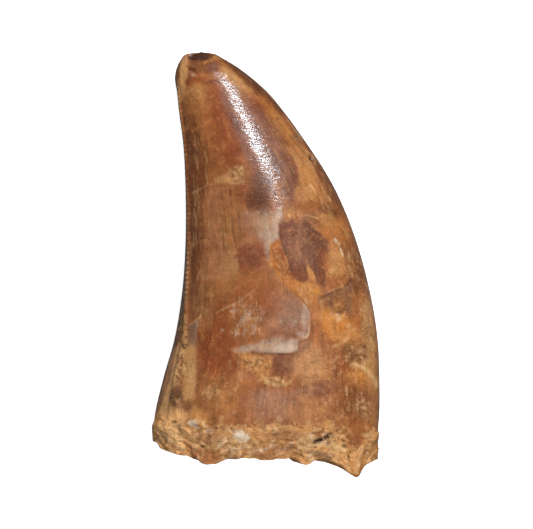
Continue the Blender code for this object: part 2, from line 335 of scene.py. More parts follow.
off_keel = np.degrees(angle) - curve(KEEL_ANGLE, height)
ridge = np.exp(-((off_keel / KEEL_HALF_WIDTH) ** 2))
groove = 1 - np.abs(np.cos(np.pi * height / DENTICLE_PITCH)) ** 0.6
cut = DENTICLE_DEPTH * groove * ramp(height, DENTICLE_FOOT, DENTICLE_FOOT + 2)
relief += (KEEL_HEIGHT - cut) * ridge * ramp(KEEL_TOP - height, 0.0, 3.0) * (1 - 0.5 * crust)
relief += WAVE * grain(plain, WAVE_LENGTH, 3)
print("relief of crust and keel, mm:", relief.min().round(2), "to", relief.max().round(2))

# %% [markdown]
# ## The flake and the pits
#
# A flake of enamel has spalled off the middle of the flank. The sound enamel ends there in a
# scarp, and to the right of it the bed of the flake rises slowly to the surface again. Pits and
# swellings are single soft spots. Cracks come later, because they are cut as they are painted.

# %% Scarp, pits and swellings
SCARP = (
    (2.0, 34.6), (2.15, 33.4), (1.5, 32.8), (1.75, 30.7), (0.4, 29.8), (0.3, 28.0), (1.2, 26.0),
    (4.4, 22.8), (5.3, 21.4), (5.6, 18.9), (5.4, 18.0), (4.0, 17.4), (4.0, 16.3), (3.0, 16.0),
    (-3.7, 16.1),
)
BED_EDGE = ((-4.5, 13.0), (0.0, 10.5), (9.0, 11.0), (13.5, 18.0), (13.0, 30.0), (8.0, 36.5))
SCARP_DEPTH, SCARP_WIDTH, BED_FLAT, BED_REACH, BED_BORDER = 0.3, 0.28, 2.0, 8.0, 1.6
# Hollows and swellings: across, height, reach across, reach along, depth or rise.
PITS = (
    (6.6, 4.75, 0.7, 0.35, 0.45), (7.6, 5.5, 0.4, 0.25, 0.3), (-8.6, 5.7, 1.2, 0.6, 0.35),
    (-11.9, 6.4, 0.9, 0.8, 0.3), (10.8, 2.8, 0.5, 0.9, 0.35), (-9.7, 52.6, 0.5, 0.35, 0.35),
    (-2.0, 13.4, 2.2, 0.9, 0.16),
)
SWELLINGS = (
    (-10.3, 6.6, 1.1, 0.9, 0.45), (-6.6, 3.0, 1.6, 1.2, 0.5), (-12.9, 5.2, 1.4, 1.6, 0.35),
    (11.6, 2.2, 1.0, 1.8, 0.7), (13.7, 4.4, 0.8, 1.4, 0.4), (2.3, 12.2, 1.9, 0.5, 0.14),
    (-11.6, 9.2, 0.5, 1.4, 0.35), (12.6, 15.6, 1.4, 0.9, 0.16),
)


def spots(across, height, table):
    """The sum of soft round hollows or swellings."""
    total = np.zeros(across.shape)
    for middle, level, wide, long, depth in table:
        total += depth * np.exp(-(((across - middle) / wide) ** 2) - ((height - level) / long) ** 2)
    return total


def flake_bed(across, height):
    """How far the bed of the lost flake lies under the sound surface."""
    away = distance_to_line(across, height, SCARP)
    rim = distance_to_line(across, height, SCARP[-1:] + BED_EDGE + SCARP[:1])
    depth = ramp(away, 0.0, SCARP_WIDTH) * (1 - ramp(away, BED_FLAT, BED_REACH))
    lost = inside(across, height, SCARP + BED_EDGE)
    return SCARP_DEPTH * lost * depth * ramp(rim, 0.0, BED_BORDER)


relief -= flake_bed(plain[:, 0] + 0.1 * fine, height + 0.1 * coarse) * faces_up
relief -= spots(plain[:, 0], height, PITS) * faces_up
relief += spots(plain[:, 0], height, SWELLINGS) * faces_up
print("with flake, pits and swellings, mm:", relief.min().round(2), "to", relief.max().round(2))

# %% [markdown]
# ## Paint and chisel
#
# Ground water stained the fossil as it turned to stone: iron gives tan, orange and rust,
# manganese the dark purple-brown patches, and loosened enamel shows whitish. These colours lie
# in clouds and flakes with uneven edges, not in a pattern, so they are painted one by one, as on
# a model: soft washes, patches with a crisp edge and thin lines, one over the other, each with
# an edge that noise makes ragged. A stroke can also raise or sink the surface under it, and can
# leave it gritty, because a crack, a flake's rim and a grain of crust have both a colour and a
# shape. The result is one colour and one grit value on each point of the mesh.
# A few strokes paint light and shade rather than stains: painted highlights on the ridges of the worn
# tip, the rims of the plate and the lip of a crack, a painted glint and sheen at the tip, painted shade
# past the keel, along the left edge and on the lit end of the scarp, and lighter paint on faces at the
# left and right edges that turn away from the lamps.

# %% Brushes
PIGMENTS = {
    "base": "#99603A", "tan": "#A56E40", "honey": "#B87F4A", "amber": "#B4743C",
    "orange": "#CA8636", "bone": "#BC9468", "sand": "#C48C54", "umber": "#80502C",
    "cedar": "#7A4420", "oak": "#965C2F", "chestnut": "#6B3C20", "rust": "#8E4B26",
    "brick": "#84401C", "wine": "#7A4632", "plum": "#6E4636", "mauve": "#7E5244",
    "dusk": "#552E18", "ink": "#3A1D12", "pit": "#241208", "slate": "#8A6E5C",
    "ash": "#7A5E4A", "chalk": "#C0AFA3", "white": "#DACDC0", "rose": "#A07058",
    "sienna": "#A8683A", "olive": "#806040", "gold": "#D09E68", "straw": "#D6B080",
    "fawn": "#A46E4A", "peach": "#F2BC84", "resin": "#CC8028",
}
RAGGED_EDGE = (0.30, 0.24, 0.18)  # how far noise of each size moves a stroke's edge
RAGGED_SIZE = (2.2, 0.8, 0.33)
OVAL_REACH = 1.6  # a soft, ragged oval ends within this many times its size
LINE_WOBBLE = 0.15
SCATTER = 0.5  # of an oval's size: how widely what is scattered over it spreads
FAINTEST = 0.4  # of the full strength, among what is scattered
HAIR_DRIFT = 0.012  # how far a hair strays from its lane, in half widths of the crown
HAIR_STOPS = (0.0, 0.3, 0.65, 1.0)

x = plain[:, 0]
down = np.clip((ROOT_TOP - height) / ROOT_TOP, 0.0, 1.0)
y = height + down * held_curve(BROKEN_EDGE, x)
shows = ramp(np.sin(angle), -0.30, -0.05)
here = np.stack((x, y, plain[:, 2]), axis=1)
noises = [grain(here, size, 20 + n) for n, size in enumerate(RAGGED_SIZE)]
ragged = sum(edge * noise for edge, noise in zip(RAGGED_EDGE, noises))
ragged_fine = 0.4 * noises[1] + 0.6 * noises[2]
stain = np.tile(linear(PIGMENTS["base"])[:3], (len(x), 1))
grit = np.zeros(len(x))
side = shows  # the side of the tooth that is being painted


def lay(pigment, weight, where, gritty=None, rise=0.0):
    """Puts a pigment on the points at where, and changes their grit and height with it."""
    weight = weight * side[where]
    if pigment:
        colour = np.array(linear(PIGMENTS[pigment])[:3])
        stain[where] += (colour - stain[where]) * weight[:, None]
    if gritty is not None:
        grit[where] += (gritty - grit[where]) * weight
    relief[where] += rise * weight


def wash(pigment, across, level, wide, long, strength=0.85, lean=0, soft=0.9, gritty=None, rise=0.0):
    """A soft oval round a place. It leans by degrees anticlockwise from upright."""
    reach = OVAL_REACH * max(wide, long)
    where = np.nonzero((np.abs(x - across) < reach) & (np.abs(y - level) < reach))[0]
    turn = math.radians(lean)
    right, up = x[where] - across, y[where] - level
    u = (right * math.cos(turn) + up * math.sin(turn)) / wide
    v = (up * math.cos(turn) - right * math.sin(turn)) / long
    weight = strength * ramp(1 + soft / 2 - np.hypot(u, v) - ragged[where], 0.0, soft)
    lay(pigment, weight, where, gritty, rise)


def washes(*rows):
    """Several washes. A row holds what a wash takes, in the same order."""
    for row in rows:
        wash(*row)


def round_about(outline):
    """The points of the mesh that lie within 1 mm of an outline's box."""
    low, high = np.min(outline, axis=0) - 1, np.max(outline, axis=0) + 1
    return np.nonzero((x > low[0]) & (x < high[0]) & (y > low[1]) & (y < high[1]))[0]


def patch(pigment, ring, strength=0.9, soft=0.2, gritty=None, rise=0.0):
    """A patch inside a ring of points. Its edge is soft over a width in millimetres."""
    where = round_about(ring)
    deep = depth_inside(x[where], y[where], ring) + 0.5 * ragged[where]
    lay(pigment, strength * ramp(deep, -soft / 2, soft / 2), where, gritty, rise)


def line(pigment, points, width=0.2, strength=0.8, broken=0.0, gritty=None, rise=0.0):
    """A line through the points. Where it is broken, noise takes parts of it away."""
    where = round_about(points)
    away = distance_to_line(x[where], y[where], points) + LINE_WOBBLE * ragged[where]
    weight = strength * (1 - ramp(away, 0.25 * width, 0.75 * width))
    weight *= 1 - broken * ramp(ragged_fine[where], -0.25, 0.1)
    lay(pigment, weight, where, gritty, rise)


def dabs(pigments, across, level, wide, long, count, dab, strength, lean=0, gritty=None, rise=0.0):
    """Scatters small dabs of several pigments over a soft oval."""
    pigments = pigments.split()
    dice = np.random.default_rng(int(100 * abs(across) + level) + count)
    cos, sin = math.cos(math.radians(lean)), math.sin(math.radians(lean))
    for n in range(count):
        u, v = dice.normal(0.0, SCATTER, 2) * (wide, long)
        spot = across + u * cos - v * sin, level + u * sin + v * cos
        size = dice.uniform(*dab), dice.uniform(*dab)
        tilt, share = dice.uniform(-60, 60), dice.uniform(FAINTEST, 1.0)
        wash(pigments[n % len(pigments)], *spot, *size, strength * share, tilt, 0.9, gritty, rise)


def hairs(pigments, across, level, wide, long, count, length, width, strength, rise=0.0):
    """Scatters fine lines over a soft oval. They run along the growth of the crown."""
    pigments = pigments.split()
    dice = np.random.default_rng(int(100 * abs(across) + level) + count)
    for n in range(count):
        u, v = dice.normal(0.0, SCATTER, 2) * (wide, long)
        hair = dice.uniform(*length)
        centre, half_width = span(level + v)
        lane, drift = (across + u - centre) / half_width, dice.normal(0.0, HAIR_DRIFT)
        path = []
        for stop in HAIR_STOPS:
            on = level + v + (stop - 0.5) * hair
            centre, half_width = span(on)
            path.append((centre + half_width * (lane + drift * stop), on))
        thick, share = dice.uniform(0.7, 1.4), dice.uniform(FAINTEST, 1.0)
        line(pigments[n % len(pigments)], path, width * thick, strength * share, 0.5, rise=rise)


# %% The tip
washes(
    ("umber", -11.6, 50.5, 0.45, 5, 0.7, 2, 0.7), ("gold", -10.9, 52, 0.55, 2.9, 0.9, -3, 0.6),
    ("peach", -11, 52.3, 0.25, 1.8, 0.6, -3),
)
wash("umber", -8.1, 53.2, 2.1, 0.9, 0.9, 0, 0.4, gritty=0.3)
washes(
    # the small slate wash is a painted bluish sheen on the worn facet
    ("mauve", -6.8, 53.1, 0.9, 0.7, 0.85, 0, 0.6), ("slate", -6.9, 53.3, 0.3, 0.4, 0.5, 30),
    ("chestnut", -9.8, 52.8, 0.5, 0.35, 0.8, 0, 0.7),
)
patch("ink", ((-10.3, 54.2), (-9.9, 56), (-7.2, 56), (-6.8, 54.9), (-7.1, 54.3), (-8.2, 53.85),
              (-9.4, 53.9)), 0.92, 0.35, gritty=0.3)
wash("ink", -8.9, 54.2, 1.2, 0.4, 0.3, 0, 0.6, gritty=0.3)
wash("cedar", -7.4, 54.6, 0.4, 0.4, 0.6, 0, 0.8)
wash(None, -7.3, 53.2, 2.4, 0.95, 1, 0, 0.5, gritty=0.42)
# Painted highlights: pale lines along the ridges of the worn facet, where the light catches them.
line("honey", ((-8.2, 53.6), (-7.5, 54), (-6.95, 54.25), (-5.85, 54.25)), 0.25, 0.7)
line("honey", ((-6.9, 54.3), (-5.6, 54.3), (-4.4, 53.6)), 0.45, 0.8)
washes(
    ("sienna", -8.7, 51.7, 0.9, 0.5, 0.8, 0, 0.7), ("rust", -9.3, 51.2, 1.5, 0.55, 0.85, 0, 0.7),
    ("brick", -10.3, 51.1, 0.3, 0.45, 0.8, 0, 0.7), ("wine", -6.7, 51.1, 0.8, 0.35, 0.85, 0, 0.7),
    # the small chalk wash at (-9.6, 52.1) is a painted glint
    ("brick", -7.6, 50.95, 0.3, 0.25, 0.8, 0, 0.7), ("chalk", -9.6, 52.1, 0.3, 0.14, 0.7, -20),
    ("honey", -9.2, 49.2, 1.5, 1.8), ("sand", -9.3, 48.6, 0.7, 1.5, 0.5),
    ("honey", -8.3, 49.8, 0.5, 1.3, 0.5, 0, 0.7), ("sienna", -6.8, 50.4, 0.9, 0.35, 0.8, 0, 0.7),
    ("honey", -3.5, 51, 0.8, 3.2, 0.9, 50, 0.8),
)
line("cedar", ((-5.6, 53.8), (-4, 52.6), (-2.4, 51.1), (-0.6, 49.3), (1.4, 47.2)), 1.3, 0.85)
line("chestnut", ((-5.4, 53.9), (-3.9, 52.9), (-2.3, 51.4), (-0.4, 49.6), (1.6, 47.5)), 0.7, 0.7)
line("dusk", ((-3.4, 52.6), (-2, 51.3), (-0.9, 50.2)), 0.35, 0.6)
line("straw", ((-3.2, 52.2), (-2, 51.2)), 0.14, 0.4, 0.5)
line("straw", ((-2.1, 50.2), (-1, 48.9)), 0.14, 0.4, 0.5)
washes(
    ("gold", -9.3, 49.4, 1.1, 1.2, 0.5), ("honey", -9.4, 48, 1.3, 2.4, 0.7),
    ("gold", -4.1, 51.5, 0.6, 2.4, 0.6, 50),
)
hairs("umber chestnut", -9.4, 48.5, 1.5, 1.5, 16, (0.8, 2), 0.15, 0.4)
print("painted the tip")

# %% The keel: pale beads, dark grooves, and painted shade on the flank outside them
serrated = ramp(height, DENTICLE_FOOT - 1.0, DENTICLE_FOOT + 2) * ramp(KEEL_TOP - height, 0.0, 2.0)
everywhere = np.arange(len(x))
side = np.ones(len(x))
painted_shade_past_keel = ramp(off_keel, 3.0, 7.0) * ramp(angle, 0.0, 3.0) * ramp(height, 13.0, 20.0)
# Painted shade: ash darkens the flank that turns down past the keel.
lay("ash", 0.8 * painted_shade_past_keel * shows, everywhere)
lay("bone", 0.95 * serrated * ridge * (1 - groove), everywhere)
lay("umber", 0.6 * serrated * ridge * groove, everywhere, 0.3)
side = shows
print("painted the keel")

# %% The upper blade
washes(
    ("cedar", -9.5, 42.5, 1.9, 6.4, 0.75, 2), ("oak", -8.6, 45.5, 0.9, 3, 0.6, 5),
    ("chestnut", -9.8, 42, 0.6, 2.8, 0.5, 2), ("sienna", -7.3, 45.3, 0.95, 3.8, 0.75, 10),
    ("rust", -6.3, 48.2, 1.3, 2.2, 0.9, 12, 0.8), ("rust", -4.9, 43.6, 1.8, 4.2, 0.9, 13, 0.8),
    ("brick", -4.4, 41.6, 1, 1.5, 0.6, 10), ("mauve", -4.6, 47.2, 0.6, 2.6, 0.7, 24),
    ("mauve", -2.7, 43.3, 0.9, 3.4, 0.8, 22), ("mauve", -1.9, 45, 1.5, 6, 0.5, 23),
    ("rust", -1, 47.2, 0.9, 2.4, 0.85, 26, 0.8), ("mauve", 0.8, 42.7, 1.5, 4.9, 0.9, 25, 0.8),
    ("plum", 0.9, 40.6, 0.8, 2.9, 0.5, 22), ("plum", -0.6, 37.6, 1.4, 1.9, 0.7, 15),
    ("amber", 1.75, 45.7, 0.8, 3.7, 0.9, 36, 0.8), ("sand", 1.9, 45.4, 0.35, 2.3, 0.4, 36),
    ("honey", 4.7, 40.4, 1.2, 3, 0.8, 28, 0.8),
)
patch("honey", ((2.9, 42.6), (4.6, 43.2), (5.95, 41.2), (7, 38.6), (5.8, 37.4), (4.2, 38.3),
                (3.6, 40.4)), 0.7, 0.9)
washes(
    ("wine", 3.2, 39.6, 0.75, 2.6, 0.9, 16, 0.8), ("chestnut", 2.9, 37.2, 0.8, 2, 0.8, 12, 0.8),
    ("honey", 5.2, 36.6, 1.4, 2.2, 0.85, 15), ("umber", 7.7, 38.2, 0.65, 4.2, 0.9, 29, 0.8),
    ("umber", 4.9, 43.6, 0.3, 2.6, 0.7, 38, 0.7), ("chestnut", 2.8, 46.9, 0.35, 3, 0.75, 40, 0.7),
    ("honey", 7.2, 36.6, 0.5, 1.7, 0.6, 25), ("umber", 7.8, 33.8, 2.1, 1.4, 0.8, 20),
    ("chestnut", 8.5, 33.4, 0.9, 0.9, 0.6), ("oak", 5, 34.9, 1.7, 0.7, 0.8),
)
wash("pit", 5.75, 41.15, 0.32, 0.22, 0.9, -25, 0.5, rise=-0.35)
line("straw", ((5.3, 41.8), (5.2, 42.1), (5.9, 41.6), (6.3, 40.9), (6.2, 40.4)), 0.22, 0.6)
line("straw", ((5.6, 37.7), (6.1, 37.1), (6.4, 36.4)), 0.16, 0.7)
line("straw", ((8.1, 36.1), (8.25, 35.6)), 0.2, 0.6)
hairs("chestnut dusk umber", -9.3, 41.5, 1.5, 4.5, 90, (1, 3.5), 0.17, 0.55, rise=-0.02)
hairs("bone honey", -9, 42.5, 1.4, 5, 30, (0.8, 2.5), 0.14, 0.4)
hairs("brick sienna", -5.2, 44, 1.8, 4, 30, (0.8, 2.5), 0.16, 0.4)
hairs("fawn honey", 0.6, 42, 1.8, 4.5, 50, (0.7, 2.2), 0.15, 0.45)
hairs("dusk chestnut", 1.6, 40.5, 1.5, 4, 40, (0.7, 2), 0.15, 0.5)
hairs("straw umber", 5.6, 39, 1.6, 4, 40, (0.7, 2), 0.15, 0.45)
hairs("sand rose dusk", 1.8, 43, 1.5, 6, 80, (0.7, 2.2), 0.14, 0.55)
hairs("ash straw dusk", 4, 44.5, 0.9, 5, 60, (0.6, 2), 0.14, 0.6)
hairs("straw dusk", 7.9, 35.8, 0.9, 3.5, 30, (0.7, 2), 0.15, 0.5)
print("painted the upper blade")

# %% The left side above the middle
washes(
    ("cedar", -9.2, 38.2, 1.7, 3, 0.8), ("oak", -6.4, 39.4, 1.7, 1.9, 0.7),
    ("fawn", -5.8, 32.6, 2.8, 5.8, 0.85, 0, 0.8), ("tan", -4.3, 32.6, 1.4, 4.8, 0.8),
    ("cedar", -9.1, 31.5, 1.1, 6.5, 0.8), ("bone", -4.9, 26.8, 1.3, 2.3, 0.6),
    ("fawn", -6.6, 27.4, 1.9, 2.8, 0.8),
)
line("chestnut", ((-9.5, 34.5), (-9.5, 28), (-9.4, 23.5)), 0.5, 0.7)
patch("bone", ((-6.8, 38.5), (-5.8, 38.9), (-4.9, 39.5), (-4, 40.1), (-3.1, 40), (-2.8, 39.3), (-3, 39),
               (-2.8, 38.1), (-3.4, 37.8), (-4.8, 37.9), (-6.2, 38)), 0.6, 0.5, gritty=0.3)
wash("gold", -5.8, 38.3, 1.5, 0.5, 0.5, 15)
dabs("straw gold umber cedar straw", -4, 39.1, 1, 0.8, 90, (0.08, 0.2), 0.8, lean=15, gritty=0.4)
line("straw", ((-4.8, 37.9), (-3.9, 37.85), (-3, 38)), 0.3, 0.6, 0.2, gritty=0.4, rise=0.03)
wash("rust", -3.1, 36.4, 1, 1.3, 0.6)
line("straw", ((-9.7, 36.6), (-7.9, 37.5), (-7.6, 37.8)), 0.15, 0.6)
line("bone", ((-8.1, 42), (-7.8, 40.9), (-8, 39.6), (-7.7, 37.9)), 0.18, 0.6, 0.3)
line("ink", ((-4.75, 37), (-4.6, 35.4), (-4.5, 33.6)), 0.2, 0.8, 0.55)
line("ink", ((-4.5, 33.6), (-4.45, 31.8), (-4.2, 30.6), (-4, 29.5)), 0.2, 0.8, 0.1, rise=-0.08)
line("dusk", ((-5.75, 31.6), (-5.6, 29.9)), 0.2, 0.7, rise=-0.04)
wash("straw", -5.5, 31.2, 0.22, 0.15, 0.7, 0, 0.7)
hairs("bone straw", -6.3, 31, 2.6, 5, 80, (0.6, 2.2), 0.14, 0.35)
hairs("umber rust", -6.8, 31.5, 2.8, 5.5, 60, (0.8, 2.8), 0.16, 0.3)
hairs("chestnut dusk", -9.2, 31.5, 0.8, 5.5, 50, (0.8, 2.8), 0.16, 0.5)
washes(
    ("plum", -0.5, 37, 1.3, 1.4, 0.7), ("wine", -2.2, 36.4, 1.2, 1, 0.6),
    ("chestnut", -1.2, 35.5, 1.8, 1.6, 0.9, -8, 0.6), ("dusk", -1.6, 35.8, 0.8, 1.1, 0.65),
)
dabs("dusk wine chestnut", -1.3, 35, 1.7, 1, 50, (0.12, 0.35), 0.6)
dabs("sand chalk", -1, 34, 1.4, 0.35, 24, (0.1, 0.25), 0.6)
washes(
    ("umber", -2.6, 30.5, 3.4, 7, 0.22), ("cedar", -5.2, 39.5, 1.9, 4.5, 0.3, 8),
    ("dusk", -1.5, 35.3, 1.2, 1.2, 0.35, 0, 0.8),
)
hairs("bone straw", -8.6, 22.5, 0.9, 4, 50, (0.6, 2.2), 0.14, 0.6)
hairs("straw umber", -9.4, 33, 0.7, 8, 50, (0.8, 2.6), 0.14, 0.5)
wash("umber", -6, 33, 1.6, 3.2, 0.2)
print("painted the left side")

# %% The plate at the scarp
washes(
    ("slate", -1.2, 32.4, 1.9, 1.6, 0.5, -15), ("chalk", -0.2, 32.6, 1.8, 1.6, 0.5, -20),
    ("rose", -2.4, 33, 1.4, 1.6, 0.4, -10), ("rose", -1.6, 31.2, 1.2, 1, 0.5),
)
patch("chalk", ((-0.4, 33.3), (0.4, 33.8), (2, 34.5), (2.1, 33.4), (1.45, 32.7), (1.55, 31),
                (1.25, 30.4), (0.5, 30), (0.3, 28.2), (0, 29.2), (-0.4, 30.1), (-1.2, 31.5)), 0.5, 0.9,
      gritty=0.15)
# Painted highlight: a white line along the rim of the plate, where its edge rounds over to the light.
line("white", ((1.9, 34.3), (1.9, 33.4), (1.3, 32.7), (1.45, 31), (1, 30.5), (0.3, 29.8), (0.2, 28.4)),
     1, 0.2, gritty=0.1)
dabs("chalk rose slate chalk", -0.5, 32, 1.6, 1.6, 70, (0.12, 0.35), 0.35)
washes(
    ("honey", 0.4, 32.9, 0.22, 1, 0.6), ("tan", -1, 32.4, 1.1, 1.7, 0.4),
    ("fawn", 0.9, 32.6, 0.9, 1.5, 0.35), ("rose", -1.9, 28.4, 2, 2, 0.5),
    ("rust", -1.9, 28.35, 1.85, 1.9, 0.8, 0, 0.35), ("wine", -2.2, 28, 0.9, 1.2, 0.5),
    ("wine", -1.9, 28.3, 1.75, 1.8, 0.5, 0, 0.35),
)
dabs("rust rose wine", -1.9, 28.3, 1.9, 2, 50, (0.12, 0.35), 0.4)
wash("sienna", -1.3, 25.6, 2.3, 1.2, 0.8, -28)
wash("tan", 2, 25.4, 1.3, 3.2, 0.8, 40, gritty=0.2)
patch("amber", ((0.45, 29.9), (1, 30.4), (1.75, 30.7), (2.6, 29.2), (2.9, 27.4), (3.6, 25.9),
                (4.9, 25.2), (4.6, 23), (2.9, 24.2), (1.2, 26.1), (0.35, 28)), 0.9, 0.15, gritty=0.35)
wash("rust", 2.5, 27.7, 0.7, 2.1, 0.7, 24, 0.7, gritty=0.35)
for n in range(5):
    line("chestnut", ((0.75 + 0.3 * n, 29.2 - 0.15 * n), (1.1 + 0.4 * n, 27.2 - 0.15 * n),
                      (2.5 + 0.4 * n, 25.2 + 0.1 * n)), 0.14, 0.65, 0.6)
line("gold", ((0.7, 29.5), (1.6, 29.9), (2.3, 29), (2.6, 27.6)), 0.2, 0.5, 0.5)
dabs("straw rust gold umber", 1.8, 27.8, 0.7, 2, 70, (0.07, 0.18), 0.55, lean=25, gritty=0.4)
patch("fawn", ((2, 34.7), (3.4, 35), (4.6, 34.5), (6, 33.6), (6.2, 32.4), (3, 32.6), (1.6, 32.7),
               (2.15, 33.4)), 0.7, 0.3, gritty=0.35)
washes(
    ("fawn", 2.9, 34, 0.9, 0.5, 0.35, -10), ("rose", 4.6, 33.8, 1.1, 0.5, 0.5, -20),
    ("fawn", 3.3, 34.2, 1.1, 0.8, 0.5), ("umber", 3.6, 34.1, 1.6, 0.9, 0.2),
    ("rust", 1.4, 28.9, 0.9, 1.8, 0.3),
)
dabs("straw sienna gold", 3.4, 34, 1.2, 0.6, 60, (0.08, 0.2), 0.6, gritty=0.4)
line("straw", ((3.3, 34.7), (4.6, 33.9), (6.3, 33.5), (6.8, 33.3)), 0.17, 0.55, 0.4)
washes(
    # the umber wash is painted shade on the end of the scarp that the lamps light
    ("umber", 3.2, 34.3, 0.6, 0.6, 0.5, 0, 0.8), ("bone", 2.8, 34.2, 0.9, 0.6, 0.25),
)
print("painted the scarp")

# %% The purple leaf
LEAF = (
    (1.5, 32.5), (2.0, 33.1), (2.6, 32.9), (3.0, 33.3), (3.8, 32.8), (4.3, 33.1), (4.9, 33.2),
    (5.75, 32.7), (6.15, 31.9), (6.95, 31.5), (7.7, 30.7), (8.15, 30.0), (8.05, 29.0), (7.95, 27.6),
    (7.55, 27.1), (7.45, 25.4), (7.65, 24.4), (6.75, 24.9), (5.95, 26.1), (5.5, 26.5), (5.3, 25.3),
    (4.7, 24.9), (3.7, 25.5), (2.9, 26.7), (2.7, 27.9), (1.95, 29.4), (1.8, 30.4), (1.45, 31.2),
)
washes(
    ("amber", 8, 31.4, 1.7, 1.8, 0.8, 30), ("sand", 8.2, 33, 0.8, 1.2, 0.5, 40),
)
patch("plum", LEAF, 0.92, 0.2, gritty=0.4)
washes(
    ("mauve", 3.2, 30.6, 1.3, 2, 0.5, 20), ("dusk", 6.2, 30.2, 1, 1.9, 0.45, 20),
    ("rust", 7.2, 28, 0.7, 1.7, 0.4, 10), ("rust", 4.4, 26.2, 0.9, 1, 0.45, 20),
    ("cedar", 7.2, 26, 0.5, 1.6, 0.6, -5),
)
dabs("rose plum slate chestnut plum", 4.6, 29.8, 2.4, 3.4, 260, (0.06, 0.16), 0.5, lean=20, gritty=0.4)
wash("rose", 4, 30, 1.5, 2.6, 0.22, 15)
for n in range(7):
    foot = (4.0 + 0.25 * n, 30.6 - 0.55 * n)
    line("slate", (foot, (foot[0] + 1.2, foot[1] + 1.5)), 0.16, 0.6, 0.3)
    line("slate", (foot, (foot[0] - 1.1, foot[1] - 0.4)), 0.16, 0.5, 0.3)
line("rose", ((4.7, 33.1), (4.1, 32.2), (4.15, 31)), 0.35, 0.6, 0.2)
line("rose", ((3.95, 30.2), (3.95, 29.4), (4.8, 28.2), (5.6, 26.6)), 0.45, 0.65, 0.3)
wash("sand", 5.75, 26.2, 0.35, 1.1, 0.9, 24, 0.6, gritty=0.4)
for at in ((3.1, 32.6), (3.8, 32.2), (4, 31.6), (2.5, 32.3)):
    line("dusk", ((at[0] - 0.6, at[1] - 0.6), at), 0.15, 0.6)
print("painted the leaf")

# %% The flake's bed and the right side
wash("sienna", 9.2, 27.2, 1.8, 3.4, 0.85, 8, 0.8, gritty=0.2)
washes(
    ("umber", 11.4, 27, 1.1, 4.4, 0.85, 13), ("chestnut", 11.9, 24.9, 0.6, 1.8, 0.7, 5),
    ("amber", 10.2, 31.4, 0.6, 2.2, 0.6, 22),
)
patch("honey", ((3.7, 24.8), (5.5, 25.2), (6.8, 24.5), (7.3, 23.3), (6.7, 22.8), (6.7, 21.2),
                (6.3, 20.4), (5.65, 21.5), (5, 22.8), (4.2, 23.9)), 0.85, 0.6, gritty=0.35)
dabs("orange straw sienna", 5.4, 23.6, 1.5, 1.5, 60, (0.12, 0.35), 0.6, lean=30, gritty=0.35)
wash("sienna", 6.1, 22.4, 0.3, 1, 0.7)
for at, size in (((8.9, 30.5), 0.3), ((9.35, 30), 0.18), ((9.55, 29.3), 0.2), ((9.75, 28.7), 0.28)):
    wash("white", *at, 0.75 * size, 1.1 * size, 0.9, 25, 0.7, gritty=0.5, rise=0.03)
line("dusk", ((8.6, 31.3), (9.2, 30.5), (9.8, 29.3), (10.2, 28.3), (10.7, 26.6)), 0.14, 0.6, 0.3)
dabs("straw gold", 9.3, 29, 1, 2, 40, (0.06, 0.16), 0.6, lean=20, gritty=0.4)
line("straw", ((10.1, 28.3), (10.6, 27.1), (11.05, 25.8)), 0.16, 0.6, 0.3)
dabs("straw bone sienna", 8.5, 26.6, 0.8, 0.7, 36, (0.1, 0.28), 0.7, gritty=0.4)
dabs("straw gold honey rust", 9.2, 27, 1.6, 3, 150, (0.05, 0.15), 0.5)
dabs("straw dusk umber honey", 11.3, 27.5, 1.1, 4.5, 120, (0.05, 0.14), 0.5, lean=13)
wash("gold", 9, 28.2, 1, 2.2, 0.4, 10)
hairs("straw honey", 10.6, 28, 1.6, 5, 60, (0.6, 1.8), 0.15, 0.5)
hairs("dusk chestnut", 11, 27.5, 1.5, 5, 60, (0.6, 1.8), 0.15, 0.5)
CRACK = ((6.7, 22.0), (6.8, 22.7), (7.25, 23.1), (7.7, 23.5), (8.3, 23.7), (9.0, 24.0),
         (9.85, 24.3), (10.4, 24.75), (11.0, 25.5))
patch("ash", CRACK[1:] + ((11.2, 24), (10.9, 21.2), (10.1, 19.9), (9, 20), (7.9, 20.7), (7.2, 21.4)),
      0.6, 0.4, rise=0.05)
wash("umber", 9.6, 22.2, 1, 1.8, 0.7)
dabs("honey umber sand chestnut", 9.2, 22.3, 1.6, 1.6, 70, (0.12, 0.32), 0.45)
line("umber", CRACK[1:], 0.6, 0.4, 0, gritty=0.45)
line("ink", CRACK[1:], 0.2, 0.85, 0.15, rise=-0.05)
# Painted highlight: a pale line on the crack's upper lip, which faces the light.
line("straw", ((7.5, 23.55), (8.3, 23.95), (9, 24.25), (9.9, 24.6)), 0.16, 0.5, 0.3)
line("straw", ((6.95, 22.7), (7.1, 22.1), (7.35, 21.3)), 0.4, 0.7, 0.3, gritty=0.4)
dabs("straw chalk gold", 8.8, 20.6, 1.2, 0.45, 36, (0.12, 0.3), 0.75, gritty=0.5, rise=0.03)
wash("sienna", 6.7, 19.4, 1.3, 2.9, 0.8)
wash("resin", 9.9, 18.9, 2.2, 1.8, 0.85, 10, gritty=0.15)
washes(
    ("orange", 7.9, 20.3, 1, 1.3, 0.6, 20), ("orange", 12, 17.6, 0.9, 1.4, 0.6),
)
dabs("orange straw sienna rust gold", 10, 18.9, 2.2, 1.8, 240, (0.05, 0.16), 0.6, gritty=0.3)
for at in ((10.6, 19.4), (11.2, 18.9), (10.4, 17.8), (9.4, 20.2), (12.2, 18.2)):
    wash("straw", *at, 0.35, 0.2, 0.8, 30, gritty=0.35)
hairs("straw orange", 10.4, 18.6, 2.2, 1.8, 60, (0.4, 1.2), 0.14, 0.5)
washes(
    ("sienna", 10.2, 18.7, 2.2, 1.7, 0.3), ("sienna", 12.5, 20.6, 1.2, 3.4, 0.7, 3),
)
dabs("straw umber sand chestnut", 12.8, 20.3, 0.9, 3.6, 150, (0.05, 0.14), 0.5)
